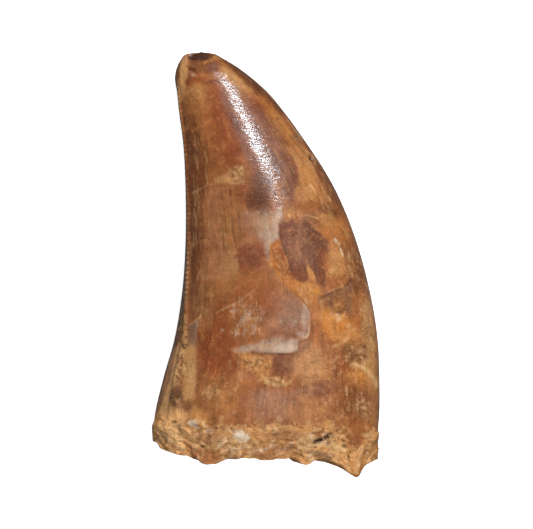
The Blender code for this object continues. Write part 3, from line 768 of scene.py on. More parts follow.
hairs("straw sand", 12.8, 20, 1.2, 4, 70, (0.4, 1.4), 0.14, 0.5)
line("chalk", ((13.3, 21.4), (13, 20.3), (13.2, 19)), 0.25, 0.6, 0.5)
patch("olive", ((10.1, 17), (11.1, 17.3), (12.2, 17), (13.1, 16.3), (13.45, 15.4), (13, 14.35),
                (12.4, 13.9), (11.6, 14.35), (10.8, 14.95), (10.1, 15.7)), 0.6, 0.8, gritty=0.4)
wash("rose", 12.7, 15, 0.8, 0.9, 0.6, gritty=0.4)
wash("umber", 10.6, 16, 0.8, 0.8, 0.7, 0, 0.7, gritty=0.4)
wash("umber", 11.9, 16.9, 0.9, 0.5, 0.6, -15, 0.7, gritty=0.4)
wash("dusk", 11.3, 15.2, 0.5, 0.4, 0.5, 0, 0.8)
dabs("straw bone", 12.8, 15.3, 0.6, 1, 60, (0.06, 0.16), 0.7, gritty=0.5)
dabs("umber bone olive straw dusk", 11.8, 15.7, 1.4, 1.5, 260, (0.05, 0.15), 0.55, gritty=0.45)
line("orange", ((13, 17.6), (13.6, 16.2), (13.7, 14.8), (13.4, 13.9)), 0.5, 0.6, 0.2)
washes(
    ("rust", 9.7, 13.9, 1, 0.9, 0.8), ("amber", 11.8, 12.7, 2, 1.4, 0.8),
)
dabs("gold sand rust straw", 11.8, 12.9, 1.9, 1.2, 130, (0.07, 0.22), 0.6)
wash("resin", 12.7, 12.7, 1.5, 0.9, 0.5, -30)
line("gold", ((11, 14.4), (12, 14.1), (13, 13.7), (13.7, 13), (14.1, 12.2), (14.2, 11.5)), 0.6, 0.85,
     0.2, rise=0.04)
line("straw", ((11, 14.5), (12, 14.2), (13, 13.8), (13.8, 13), (14.2, 12.2)), 0.28, 0.85, 0.3)
line("straw", ((14.6, 12.2), (14.2, 11.5)), 0.2, 0.7)
# Partly painted light: the sand line lightens the right edge, which turns away from the lamps, and
# partly gives its paler colour.
line("sand", ((13.1, 22), (13.7, 18), (14.1, 14), (14.2, 10), (14, 7)), 1.6, 0.45, 0)
dabs("straw chestnut bone", 13.6, 18.5, 0.4, 3, 90, (0.05, 0.14), 0.7, lean=-5, gritty=0.4)
hairs("straw cedar gold", 12.9, 16, 1.4, 8, 90, (0.5, 1.6), 0.14, 0.5)
wash("sand", 13.6, 15, 0.9, 6, 0.45)
hairs("straw bone dusk cedar", 13.2, 20, 1, 4, 80, (0.4, 1.6), 0.16, 0.7)
dabs("straw umber bone cedar", 12.6, 19, 1.4, 5, 130, (0.05, 0.16), 0.6)
washes(
    ("bone", 13.2, 17, 0.9, 7, 0.28), ("honey", 9, 26.8, 1.2, 1.2, 0.3),
)
print("painted the right side")

# %% The plate's foot and what lies under it
washes(
    ("sienna", -2.2, 23.6, 3.4, 1.5, 0.7, -32), ("rose", 2.2, 20.7, 3.2, 3, 0.85, 0, 0.8),
    ("slate", 3.4, 21.2, 1.9, 2, 0.4), ("wine", 2.9, 18.7, 2.6, 0.8, 0.5),
)
hairs("slate chalk", 3.4, 20.5, 1.8, 2.4, 50, (0.5, 1.4), 0.16, 0.35)
# Painted highlight: the white line and the two chalk washes after it light the plate's right rim.
line("white", ((4.8, 22.3), (5.35, 21.3), (5.5, 20), (5.45, 18.9), (5.3, 18.2), (4.6, 17.7)), 0.28,
     0.42, 0.45, gritty=0.1)
washes(
    ("chalk", 4.9, 20.2, 0.45, 1.4, 0.45), ("chalk", 4.5, 18.3, 0.6, 0.4, 0.5),
)
patch("chalk", ((-4.5, 16.3), (-2.7, 16.8), (-0.85, 17.3), (1, 17.9), (2.5, 17.7), (3.95, 17.7),
                (4, 16.1), (2.5, 15.9), (1.5, 15.9), (0.6, 15.9), (-0.35, 16), (-2.15, 16.1),
                (-3.6, 16)), 0.65, 0.8)
wash("white", 2.4, 16.7, 1.7, 0.6, 0.5)
dabs("rose chalk sand", 0.2, 16.9, 2.8, 0.6, 60, (0.1, 0.28), 0.5, lean=5)
line("dusk", ((0.8, 15.75), (1.9, 15.8), (3, 15.85), (4, 16)), 0.22, 0.6, 0.2)
washes(
    ("rose", 4.9, 16.9, 0.8, 0.8, 0.8), ("honey", 5.5, 13.9, 1.7, 1.6, 0.7),
    ("umber", 6.1, 15.2, 0.6, 0.9, 0.7),
)
wash("honey", 7.7, 14, 0.8, 2.2, 0.6, -5, gritty=0.2)
dabs("straw umber sand rust", 7.4, 14.6, 2.2, 2.6, 260, (0.06, 0.22), 0.5)
patch("wine", ((0.7, 15.4), (2.5, 15.8), (4, 16), (4.1, 14.2), (3.3, 13.1), (2.1, 12.6), (1.1, 13.1),
               (0.6, 14.2)), 0.8, 0.7, gritty=0.35)
dabs("rose chestnut wine", 2.2, 14.4, 1.5, 1.3, 60, (0.12, 0.3), 0.5)
patch("sand", ((-3.6, 16), (-2.15, 16), (-0.45, 15.9), (0.7, 15.6), (0.6, 14.2), (0.05, 12.9),
               (-0.6, 12.2), (-1.5, 13.8), (-2.5, 14.4), (-3.2, 13.65), (-3.7, 12.9)), 0.7, 0.5,
      gritty=0.6)
dabs("straw umber gold chestnut", -1.6, 14.9, 1.8, 1, 90, (0.1, 0.28), 0.7, lean=-10, gritty=0.6,
     rise=0.02)
dabs("straw gold chestnut", 0.9, 12.4, 1.8, 0.5, 80, (0.12, 0.3), 0.75, gritty=0.6, rise=0.04)
line("straw", ((-0.7, 13.2), (0.05, 12.35), (1.1, 11.85), (2.4, 11.85), (3.05, 12.35)), 0.4, 0.6, 0.4,
     gritty=0.6, rise=0.04)
wash("sienna", -2.3, 12.3, 1.3, 1.4, 0.7, gritty=0.35)
line("straw", ((-3.6, 15.6), (-3.7, 13), (-4, 10.9)), 0.16, 0.55, 0.3)
washes(
    ("wine", 6.6, 11.3, 2.4, 0.9, 0.6, 8), ("rose", 4.4, 10.9, 1.6, 0.6, 0.5),
)
dabs("wine mauve fawn rose", 6.4, 11.6, 2.2, 1, 110, (0.07, 0.2), 0.5)
washes(
    ("rust", -0.5, 23, 3.6, 2.6, 0.3, -25), ("wine", -2, 28.2, 1.9, 2, 0.4, 0, 0.2),
)
print("painted the foot of the plate")

# %% The lower left, and the blade above the root
washes(
    ("umber", -8, 23.2, 2.1, 2.2, 0.7), ("tan", -5.6, 24.6, 2.2, 1.2, 0.6, 15),
    ("rust", -6.4, 17.2, 2.9, 4.8, 0.8), ("brick", -7.9, 18, 0.9, 2.6, 0.5),
    ("oak", -3, 19.6, 2.4, 2.2, 0.6), ("rust", -1.2, 22.6, 2.6, 1.4, 0.5, -30),
)
patch("slate", ((-10, 19.5), (-9.1, 20.2), (-8.85, 19.8), (-9.1, 18.1), (-9.3, 16.5), (-10.3, 16.6),
                (-10.1, 18.1)), 0.75, 0.3)
line("chalk", ((-9, 20), (-9.15, 18.1), (-9.4, 16.6)), 0.18, 0.4, 0.3)
line("gold", ((-9.9, 16.2), (-9.95, 13.5), (-10.1, 10.4)), 1.6, 0.85)
washes(
    ("straw", -9.7, 13.4, 0.5, 2.2, 0.4, 5), ("umber", -9.9, 8.3, 1.4, 1.5, 0.75),
    ("gold", -9.9, 11, 0.8, 1.6, 0.35), ("tan", -6.2, 10.3, 2.5, 2.2, 0.8),
    ("rust", -5.8, 14, 1.9, 1.6, 0.6),
)
hairs("bone sand", -7.8, 20.5, 1.4, 3.8, 70, (0.5, 1.8), 0.15, 0.5)
hairs("brick chestnut", -6.8, 17.5, 2.4, 4, 60, (0.8, 2.4), 0.16, 0.4)
hairs("chalk sand", -2.6, 20.4, 1.8, 2.4, 90, (0.3, 1), 0.14, 0.5)
for n in range(18):
    at = (-3.7 + 0.17 * n, 18.4 + 0.5 * (n * 5 % 8))
    line("straw", (at, (at[0] + 0.1, at[1] + 0.6), (at[0] - 0.05, at[1] + 1.3)), 0.13, 0.6, 0.5)
    line("chalk", (at, (at[0] + 0.4, at[1] + 0.05 * (n % 5))), 0.13, 0.5, 0.5)
for n in range(16):
    at = (-4.3 + 0.26 * n, 22.4 - 0.45 * (n * 7 % 8))
    line("chalk", (at, (at[0] + 0.06, at[1] - 0.7), (at[0] - 0.04, at[1] - 1.4)), 0.12, 0.65, 0.4)
hairs("sand umber", -5.6, 12.8, 2.2, 3.2, 60, (0.5, 1.6), 0.15, 0.45)
dabs("bone rust sand", -5.6, 11.6, 2.4, 2.4, 200, (0.06, 0.22), 0.45)
dabs("straw bone umber", -7.2, 10.7, 1.3, 0.8, 90, (0.06, 0.2), 0.65, lean=20, gritty=0.4)
side = np.maximum(shows, 1 - ramp(off_keel, 6.0, 14.0))  # the walls of the keel too
line("bone", ((-10.65, 20.5), (-10.7, 16.9), (-11.1, 14.7), (-11.6, 12)), 0.9, 0.7, 0.1, gritty=0.7,
     rise=0.08)
dabs("pit straw umber sand straw", -10.9, 15.8, 0.45, 4, 80, (0.08, 0.22), 0.8, lean=8, gritty=0.7)
for at in ((-10.45, 19.6), (-10.3, 18.9), (-10.7, 18.5), (-10.4, 17.9), (-10.75, 17.3), (-10.35, 16.9),
           (-10.6, 16.5), (-10.95, 15.2), (-11.05, 14.3), (-11.2, 13.4), (-11.4, 12.6)):
    wash("pit", *at, 0.14, 0.12, 0.8, 0, 0.7, rise=-0.05)
line("umber", ((-10.8, 15.6), (-11, 13.6), (-11.2, 12.4)), 0.22, 0.6, 0.4)
# Painted light: the wide peach line lightens the steep flank left of the keel, which the lamps leave in
# shade.
line("peach", ((-11.6, 16), (-12.4, 12.4), (-13.2, 9.4), (-13.9, 7.4)), 1.3, 0.9, 0, gritty=0.1)
wash("straw", -13, 8.6, 1.2, 1.3, 0.7, -10, gritty=0.6)
wash("gold", -12, 8, 1.2, 1, 0.7, gritty=0.7)
# painted light over the shaded crease at the foot of the keel's wall
line("peach", ((-11.2, 17), (-11.6, 14.6), (-12.1, 12)), 0.6, 0.7, 0.1)
# painted shade: a dark line along the outer left edge
line("mauve", ((-11.5, 18.5), (-12.3, 14.5), (-12.7, 12.4), (-13.4, 10.4), (-14, 8.8), (-14.4, 7)),
     0.42, 0.55, 0.1)
dabs("pit straw chestnut bone", -11.3, 14, 0.35, 3, 70, (0.06, 0.16), 0.8, lean=8, gritty=0.6)
side = shows
patch("ash", ((-11.5, 12), (-10.9, 10.6), (-10.8, 9), (-11.2, 8.4), (-11.8, 9.2), (-12.5, 10.1)), 0.85,
      0.3, gritty=0.7)
dabs("pit bone umber dusk dusk", -11.5, 10, 0.6, 1.2, 90, (0.06, 0.17), 0.75, lean=15, gritty=0.7)
dabs("straw umber sand", -12.6, 8.4, 1.1, 1.1, 90, (0.06, 0.18), 0.6, gritty=0.7)
washes(
    ("dusk", -11.4, 10.2, 0.55, 1.1, 0.4, 15, 0.6), ("umber", -10.2, 8, 0.8, 1.4, 0.7, 0, 0.7),
)
line("straw", ((-6.6, 21.1), (-5.2, 21.8), (-3.9, 22.4), (-3, 23.1), (-2.2, 23.7), (-1.6, 24)), 0.18,
     0.6, 0.5)
line("straw", ((-10, 19.5), (-9, 20.2), (-8.4, 20.8)), 0.18, 0.6, 0.5)
for at in ((-5.75, 18.9), (-4.5, 18.6), (-4.6, 21.3)):
    wash("chalk", *at, 0.18, 0.16, 0.6)
washes(
    ("sienna", -3.6, 8.6, 2.6, 1.3, 0.6, 10), ("rose", 0.8, 9.4, 3.2, 2, 0.75),
    ("honey", 5.3, 8.4, 2.8, 1.6, 0.5),
)
dabs("chalk rose sand", 0.8, 9.6, 3.2, 1.8, 140, (0.1, 0.28), 0.3)
dabs("sand umber rose", 5.6, 9.4, 2.6, 1.8, 110, (0.1, 0.28), 0.4)
washes(
    ("oak", 11.8, 8.8, 2.5, 3.2, 0.75), ("chestnut", 11.2, 6.9, 1.2, 1, 0.5),
)
hairs("sand honey", 11.4, 9.2, 2.2, 3, 90, (0.5, 1.8), 0.15, 0.5)
hairs("chestnut dusk", 11.4, 9, 2.2, 3, 80, (0.5, 1.8), 0.15, 0.45)
hairs("bone sand", 11.6, 8.8, 2.2, 2.8, 70, (0.4, 1.4), 0.13, 0.6)
wash("rose", 12.9, 8.7, 0.8, 1.3, 0.6, 0, 0.7, gritty=0.35)
dabs("bone straw umber", 12.8, 8.4, 0.8, 1.3, 110, (0.06, 0.2), 0.7, gritty=0.6)
dabs("straw umber sand", 8.6, 9, 2.4, 2.6, 150, (0.05, 0.16), 0.5)
washes(
    ("chestnut", 10.6, 9.6, 1, 1.8, 0.35), ("peach", 5.2, 14.8, 2, 2.8, 0.3),
    ("fawn", 2.4, 9.4, 3.6, 1.6, 0.2), ("oak", 10.8, 8, 2.8, 3.6, 0.3),
    ("umber", -2.4, 20.3, 1.9, 2.1, 0.35), ("umber", -1.2, 25.2, 3, 1.6, 0.2),
)
wash(None, 1.8, 12.3, 3.4, 1.3, 1, 0, 0.8, gritty=0.5)
print("painted the lower left and the blade above the root")

# %% The front foot: a dark scab, the bright rim under it and the crumbs below
washes(
    ("cedar", 10.6, 9.2, 1.6, 2.6, 0.4, 10), ("umber", 11.2, 16, 1.5, 1.4, 0.62, -20, 0.7),
)
dabs("dusk straw umber bone olive", 11.6, 15.8, 1.5, 1.4, 160, (0.06, 0.18), 0.65)
line("straw", ((11.4, 14.5), (12.3, 14.1), (13.2, 13.3), (13.8, 12.6), (14.2, 11.6)), 0.5, 0.85, 0.25,
     gritty=0.3)
line("straw", ((8.6, 16.8), (9.4, 17.1), (10.2, 17.6)), 0.4, 0.6, 0.4)
wash("wine", 12.3, 9.8, 0.9, 1.5, 0.45, 0, 0.8)
dabs("bone rose wine straw", 12.2, 9.4, 0.8, 1.5, 90, (0.06, 0.15), 0.7, gritty=0.5)
hairs("straw dusk umber", 10.8, 9, 1.8, 2.6, 80, (0.4, 1.3), 0.12, 0.5)
print("painted the front foot")

# %% The root
on_root = ramp(border - height, -0.3, 0.5)
side = np.ones(len(x))
lay("gold", 0.95 * on_root, everywhere)
# painted light: peach lightens the root's left wall, which faces away from the lamps
wash("peach", -14.6, 4.8, 1.5, 2.4)
side = shows
grit = np.maximum(grit, on_root)
# partly painted light: peach makes the left of the root redder, and lighter than the lamps leave it
wash("peach", -12.3, 5, 4.6, 3.4, 0.95)
dabs("straw sand gold tan", 0, 4.4, 18, 2.4, 420, (0.2, 0.6), 0.5)
dabs("umber sienna", 0, 3.4, 18, 2.4, 160, (0.08, 0.28), 0.6)
wash("sand", -8.6, 7.4, 1.4, 1.3, 0.85, 0, 0.7, gritty=0.7, rise=0.2)
for at, size in (((-9.2, 6.9), 0.6), ((-8.9, 6.4), 0.3), ((-7.5, 5.9), 0.35), ((-3.5, 5.4), 0.85),
                 ((-2.8, 5.2), 0.5), ((5.6, 5.4), 0.35), ((7.3, 4.55), 0.25)):
    wash("white", *at, size, 0.8 * size, 0.85, 0, 0.8, gritty=1)
wash("umber", -6.9, 7.1, 0.8, 0.9, 0.75, gritty=0.7)
washes(
    ("ash", -7.4, 5, 1.9, 0.8, 0.5, -20), ("slate", -5.6, 4.4, 0.9, 0.6, 0.6, -20),
    ("ash", 1.9, 5.6, 2.3, 0.9, 0.45), ("oak", 2, 3.9, 2.4, 0.5, 0.5), ("bone", 5, 4.7, 1.4, 0.9, 0.75),
    ("ash", 6.6, 3, 1.9, 0.5, 0.7, -8), ("ash", -4.6, 2.8, 1.6, 0.5, 0.5),
    ("sienna", -8.2, 2.7, 2, 0.9, 0.7, -20), ("umber", -9, 3.4, 1, 0.25, 0.6, -15),
    ("sienna", 11.9, 5.6, 1.9, 1.6, 0.8), ("umber", 11.6, 5.2, 1.3, 0.9, 0.5),
    ("straw", 9, 3.9, 1, 0.8, 0.6), ("resin", 11.6, 1.9, 0.9, 1.5, 0.6),
    ("amber", 14, 2.8, 0.9, 1.1, 0.5),
)
patch("pit", ((5.9, 4.35), (6.2, 4.85), (6.8, 4.85), (7.4, 5.35), (7.8, 5.3), (7.3, 4.85), (6.7, 4.5),
              (6.3, 4.15)), 0.9, 0.25, rise=-0.25)
washes(
    ("dusk", 6.9, 5, 1.1, 0.4, 0.5, 24), ("straw", 7.1, 4.4, 0.5, 0.16, 0.9, 20, 0.7),
)
dabs("straw white umber pit", 7.2, 4.9, 1.6, 0.8, 60, (0.06, 0.18), 0.75, lean=20, gritty=0.6,
     rise=0.02)
for centre, spread in (((-11.5, 4.6), (3, 1.8)), ((-4.5, 4.2), (4, 1.4)), ((4.5, 4.4), (4.5, 1.4)),
                       ((12.2, 2.6), (2.4, 2))):
    dabs("straw umber chalk sienna dusk", *centre, *spread, 150, (0.05, 0.16), 0.6)
line("pit", ((7.7, 5.6), (8.6, 5.15)), 0.25, 0.8, rise=-0.15)
for at in ((-11.1, 6), (-11.9, 7), (-8.2, 3.95), (-6.1, 4.7), (9.85, 4.7), (9.9, 3.95), (14, 4.4)):
    wash("pit", *at, 0.28, 0.17, 0.8, 0, 0.7, rise=-0.2)
line("pit", ((10.3, 2.1), (10.6, 3.3), (11.5, 3.65)), 0.24, 0.85, 0.6, rise=-0.15)
line("straw", ((11.05, 1.7), (11.05, 0.7)), 0.3, 0.7)
line("straw", ((13.1, 2.3), (14.2, 3.4)), 0.22, 0.7, rise=0.1)
for n in range(5):
    line("white", ((-5.8 + 1.7 * n, 3.3 + 0.35 * (n % 2)), (-3.6 + 1.7 * n, 3.9 + 0.3 * (n % 2))), 0.16,
         0.6, 0.5)
line("white", ((-5.2, 6.1), (-2.8, 5.95)), 0.25, 0.6, 0.3)
dabs("straw sand chestnut", -1, 6.5, 8, 0.45, 170, (0.08, 0.25), 0.6, gritty=0.5, rise=0.03)
dabs("straw sand umber", 9, 6.3, 2.6, 0.7, 110, (0.08, 0.25), 0.7, lean=-20, gritty=0.6, rise=0.03)
wash("gold", 13.7, 5, 1.2, 1.3, 0.3, 0, 0.8, gritty=0.5)
wash("sienna", 12.3, 5.2, 2.2, 1.3, 0.4)
dabs("straw gold umber", 13.4, 5, 1.3, 1.3, 80, (0.08, 0.25), 0.7, gritty=0.6, rise=0.03)
washes(
    ("umber", 11.2, 4.6, 0.7, 1, 0.6), ("sienna", 11.6, 2.2, 0.8, 1.1, 0.3),
    ("ash", 0.6, 3.6, 5, 1, 0.2),
)
for at, reach in (((2.2, 5.3), (2.6, 0.9)), ((-8.2, 2.7), (2.6, 0.9)), ((0.5, 3), (2.4, 0.5)),
                  ((-7, 5.2), (1.4, 0.8))):
    wash("fawn", *at, *reach, 0.5, 0, 0.8)
for at, reach in (((5.4, 4.3), (1.5, 1)), ((-4.8, 4.5), (2, 0.8)), ((-12, 5.6), (2, 1.2)), ((11.4, 2.4),
                                                                                            (0.6, 1.3)),
                  ((8.8, 3.9), (1, 0.7))):
    wash("straw", *at, *reach, 0.42)
wash("white", -3.4, 5.3, 0.9, 0.6, 0.7, -15, 0.5, gritty=1)
line("pit", ((6.1, 4.5), (6.9, 4.95), (7.9, 5.4)), 0.45, 0.95, 0.15)
line("pit", ((8.2, 5.75), (8.9, 5.3)), 0.2, 0.8, 0.3)
print("painted the root; gritty points:", int((grit > 0.5).sum()))

# %% The flank underneath and the broken face
side = 1 - shows
washes(
    ("rust", -3, 42, 5, 9, 0.6, 15), ("cedar", -8.5, 40, 3, 12, 0.6, 3),
    ("honey", 3, 38, 3.5, 8, 0.6, 25), ("plum", 1, 31, 3.5, 5, 0.7, 15, 0.7),
    ("tan", -6, 26, 4, 6, 0.7), ("sienna", 6, 22, 5, 6, 0.7, 10), ("umber", 11, 24, 2.5, 9, 0.6, 10),
    ("rust", -4, 16, 5, 4, 0.7), ("chalk", 1, 14, 3, 1.2, 0.4, 5), ("rose", 3, 10, 7, 3, 0.6),
)
hairs("chestnut bone umber", -2, 30, 9, 22, 160, (1, 4), 0.2, 0.45)
dabs("straw umber rust gold", 0, 20, 18, 20, 300, (0.1, 0.4), 0.4)
washes(
    ("chestnut", -5, 48, 1.8, 4, 0.5, 5, 0.8), ("plum", -6.5, 34, 1.6, 2.6, 0.7, 10, 0.5),
    ("dusk", 4.6, 33, 1.2, 2.6, 0.45, 20, 0.7), ("resin", 7, 17, 3, 3.6, 0.45, 15, 0.8),
    ("bone", -9, 24, 1.2, 8, 0.45, 2, 0.8), ("wine", -2, 11, 4, 1.6, 0.6, 5, 0.6),
    ("olive", 9.5, 12, 1.6, 1.5, 0.55, 0, 0.6),
)
line("dusk", ((-3, 35), (-2.2, 31), (-2.6, 27.5), (-1.8, 24)), 0.14, 0.6)
line("straw", ((-9, 20.5), (-5.5, 22.4), (-2, 23), (2.2, 25.4)), 0.2, 0.5, 0.3)
hairs("dusk straw chestnut", -1, 22, 11, 18, 260, (0.8, 3.2), 0.15, 0.55)
dabs("bone dusk chalk umber", 0, 24, 15, 22, 500, (0.06, 0.2), 0.55)

face = np.nonzero(~on_side & (height < 1.0))[0]
drawn = np.stack((x * from_axis, 0 * x, (plain[:, 2] - THICKNESS[0][2]) * from_axis), axis=1)[face]
layer = from_axis[face] + 0.07 * grain(drawn, 2.4, 31) + 0.03 * grain(drawn, 0.8, 32)
side = np.ones(len(x))
lay("gold", np.ones(len(face)), face, 0.95)
for pigment, inner, outer in (("tan", 0.84, 0.9), ("fawn", 0.62, 0.72), ("bone", 0.34, 0.44)):
    lay(pigment, 1 - ramp(layer, inner, outer), face, 0.95)
for pigment, size, seed, strength, low, high in (
        ("umber", 2.6, 33, 0.6, 0.0, 0.4), ("straw", 1.7, 34, 0.6, 0.1, 0.45),
        ("sienna", 3.4, 35, 0.5, 0.05, 0.4)):
    lay(pigment, strength * ramp(grain(drawn, size, seed), low, high), face)
side = shows
print("painted the underside and the broken face:", len(face), "points")

# %% [markdown]
# ## The finished surface
#
# Every point now has its relief, so it moves out along the way the crown faces there. The
# underside is then pressed into the lumps that it rests on, the tip's worn facet cuts off what
# stands above it, and the root's rings follow the broken edge.

# %% Move the points out, press the underside, wear the tip
UNDER_CRUST = -0.04
UNDER_LUMPS = (  # under the root, in the form of the swellings: they bear the tooth's weight
    (-8.6, 4.7, 2.6, 1.9, 1.4), (-4.0, 3.4, 1.5, 1.2, 0.2), (9.2, 4.9, 2.7, 1.8, 1.45),
)
FACET_START, FACET_LEVEL, FACET_FALL, FACET_LEAN = 51.7, 5.75, 0.72, 0.10
FACET_SOFT, FACET_UNEVEN, FACET_GRAIN = 0.3, 0.12, 1.1
CRUMBLE, CRUMBLE_GRAIN = 0.45, 1.3  # how the broken edge crumbles
TIP_FROM = 53.0
TIP_EDGE = (  # across, then how far the chipped rim of the tip stands over or under its arc
    (-13.0, 0.0), (-10.6, 0.05), (-9.7, -0.06), (-9.1, 0.12), (-8.5, 0.2), (-7.9, 0.05),
    (-7.2, 0.08), (-6.2, 0.0), (-3.0, 0.0),
)

points = plain + out * relief[:, None]
under = ramp(-np.sin(angle), 0.2, 0.6) * ramp(-height, -SQUARE_FULL - 1.5, -SQUARE_FULL)
points[:, 2] -= (UNDER_CRUST + spots(points[:, 0], height, UNDER_LUMPS)) * under

facet = FACET_LEVEL - FACET_FALL * (height - FACET_START)
facet += FACET_LEAN * (points[:, 0] - EDGES[-1][1]) + FACET_UNEVEN * grain(points, FACET_GRAIN, 9)
above = points[:, 2] - facet
worn = ramp(above, 0.0, FACET_SOFT)
points[:, 2] -= above * worn

points[:, 1] += ramp(height, TIP_FROM, LENGTH) * held_curve(TIP_EDGE, points[:, 0])
jagged = held_curve(BROKEN_EDGE, points[:, 0])
crumbling = CRUMBLE * grain(points * (1, 0, 1), CRUMBLE_GRAIN, 5)
points[:, 1] += down * (jagged + crumbling * np.sin(angle / 2))
print("side points span, mm:", points[on_side].min(0).round(2), points[on_side].max(0).round(2))

# %% [markdown]
# ## The two ends
#
# The tip closes over in a low dome, already worn flat on top. The root is a break: its face is
# rough in lumps, and hollow in the middle where the pulp was. Each ring of an end keeps the
# shape of the crown's last ring, drawn in, so a point of an end finds its place from the side
# point in its own column.

# %% Close the tip and the broken root
TIP = 55.0
BREAK_ROUGHNESS, BREAK_LUMP, BREAK_GRIT, BREAK_SAND, PULP_HOLLOW = 0.8, 3.4, 1.4, 0.5, 0.9

column = np.round(share * COLUMNS).astype(int) % COLUMNS


def last_ring(at):
    """The finished points of the side's ring at one end, in the order of the columns."""
    ring = np.zeros((COLUMNS, 3))
    chosen = on_side & (np.abs(height - at) < NEAR)
    ring[column[chosen]] = points[chosen]
    return ring


for at in (0.0, LENGTH):
    ring = last_ring(at)
    middle = ring.mean(axis=0)
    cap = ~on_side & (np.abs(height - at) < NEAR)
    drawn_in = from_axis[cap][:, None]
    edge = ring[column[cap]]
    points[cap] = middle + (edge - middle) * drawn_in
    if at == LENGTH:
        dome = np.sqrt(1 - drawn_in[:, 0] ** 2)
        points[cap, 1] = edge[:, 1] + (TIP - LENGTH) * dome
    else:
        flat = points[cap] * (1, 0, 1)
        rough = grain(flat, BREAK_LUMP, 7) + 0.5 * grain(flat, BREAK_GRIT, 8)
        rough += 0.2 * grain(flat, BREAK_SAND, 10)
        level = middle[1] + BREAK_ROUGHNESS * rough + PULP_HOLLOW * (1 - drawn_in[:, 0] ** 2)
        blend = drawn_in[:, 0] ** 3
        points[cap, 1] = edge[:, 1] * blend + level * (1 - blend)
    print("end at", at, "mm:", cap.sum(), "points")

# %% Centre the tooth on the origin, and print its box beside the imported solid's
points[:, 2] = np.maximum(points[:, 2], 0.0)
low, high = (np.array(corner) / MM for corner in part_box("tooth"))
centre = (points.min(0) + points.max(0)) / 2
placed = points - [centre[0], centre[1], 0.0]
write(tooth, placed)
print("tooth, mm:", placed.min(0).round(2), placed.max(0).round(2))
print("solid, mm:", low.round(2), high.round(2))

bpy.ops.object.mode_set(mode="EDIT")
bpy.ops.mesh.select_all(action="SELECT")
bpy.ops.mesh.normals_make_consistent(inside=False)
bpy.ops.object.mode_set(mode="OBJECT")
bpy.ops.object.shade_smooth()
triangles = sum(len(face.vertices) - 2 for face in tooth.data.polygons)
print("tooth:", triangles, "triangles")

# %% [markdown]
# ## What the materials read
#
# The finishes need more than a colour. "flow" is a place on an even cylinder, in millimetres,
# so that growth lines drawn in it run from root to tip and draw together as the crown narrows.
# "grit" says how much of a point is dull rock grain and not glossy enamel, and "stain" is its
# painted colour.

# %% Attributes


def give(piece, name, kind, values):
    """Stores one value for each point of the piece."""
    field = "color" if kind == "FLOAT_COLOR" else "vector" if kind == "FLOAT_VECTOR" else "value"
    piece.data.attributes.new(name, kind, "POINT").data.foreach_set(field, np.ravel(values))


FLOW_RADIUS = 9.0
DEEPEN = (0.96, 0.885, 0.77)  # the gloss veils the colour below it, so that is a little richer
OPAQUE = np.ones((len(stain), 1))
flow = np.stack((FLOW_RADIUS * np.cos(angle), y, FLOW_RADIUS * np.sin(angle)), axis=1)
give(tooth, "stain", "FLOAT_COLOR", np.hstack((stain * DEEPEN, OPAQUE)))
give(tooth, "flow", "FLOAT_VECTOR", flow)
give(tooth, "grit", "FLOAT", grit)
print("attributes:", [a.name for a in tooth.data.attributes])

# %% [markdown]
# ## The material: fossil enamel and root crust
#
# Enamel is a hard, close skin that minerals have filled, so it has the soft gloss of a polished
# stone, with a thin clear sheen over a deeper brown. The crust is rock grain cemented to the
# root: dull, porous and rough. Two materials would meet at a hard edge, and here one runs into
# the other, so one material covers the piece, and "grit" turns enamel into crust. The painted
# stain gives the large forms of the colour. Noise adds what is too small to paint: growth
# lines, clouds, flecks and grains. The same noises make the bump, so colour and relief agree.

# %% Nodes


def new_material(name):
    """A material, its tree and its shader."""
    material = bpy.data.materials.new(name)
    material.use_nodes = True
    return material, material.node_tree, material.node_tree.nodes["Principled BSDF"]


def add(kind, inputs=None, output=0, **settings):
    """Adds a node and gives back one of its outputs. An input is a value or a node's output."""
    new = tree.nodes.new(kind)
    for name, value in settings.items():
        setattr(new, name, value)
    for socket, value in (inputs or {}).items():
        if isinstance(value, bpy.types.NodeSocket):
            tree.links.new(value, new.inputs[socket])
        else:
            new.inputs[socket].default_value = value
    return new.outputs[output]


finish, tree, shader = new_material("fossil enamel and crust")
stain_read = add("ShaderNodeAttribute", output="Color", attribute_name="stain")
grit_read = add("ShaderNodeAttribute", output="Fac", attribute_name="grit")
flow_read = add("ShaderNodeAttribute", output="Vector", attribute_name="flow")
place = add("ShaderNodeTexCoord", output="Object")
print("the material reads:", [node.attribute_name for node in tree.nodes if node.type == "ATTRIBUTE"])

# %% Textures: the small patterns of enamel and crust, each at its real size
EVEN = {  # the size of its lumps in mm, its detail and its roughness
    "patches": (5.0, 2.0, 0.6),
    "clouds": (1.5, 8.0, 0.72),
    "specks": (0.28, 3.0, 0.7),
    "flecks": (0.34, 5.0, 0.75),
    "motes": (0.33, 4.0, 0.75),
    "lumps": (0.9, 6.0, 0.7),
    "pores": (0.5, 5.0, 0.75),
    "swells": (1.5, 1.0, 0.5),
}
ALONG = {  # its width across the tooth and its length along it in mm, and its detail
    "growth lines": (0.16, 4.0, 3.0),
    "bands": (0.7, 9.0, 3.0),
    "crinkle": (1.0, 0.3, 2.0),
}
GRAIN = 0.38  # mm across

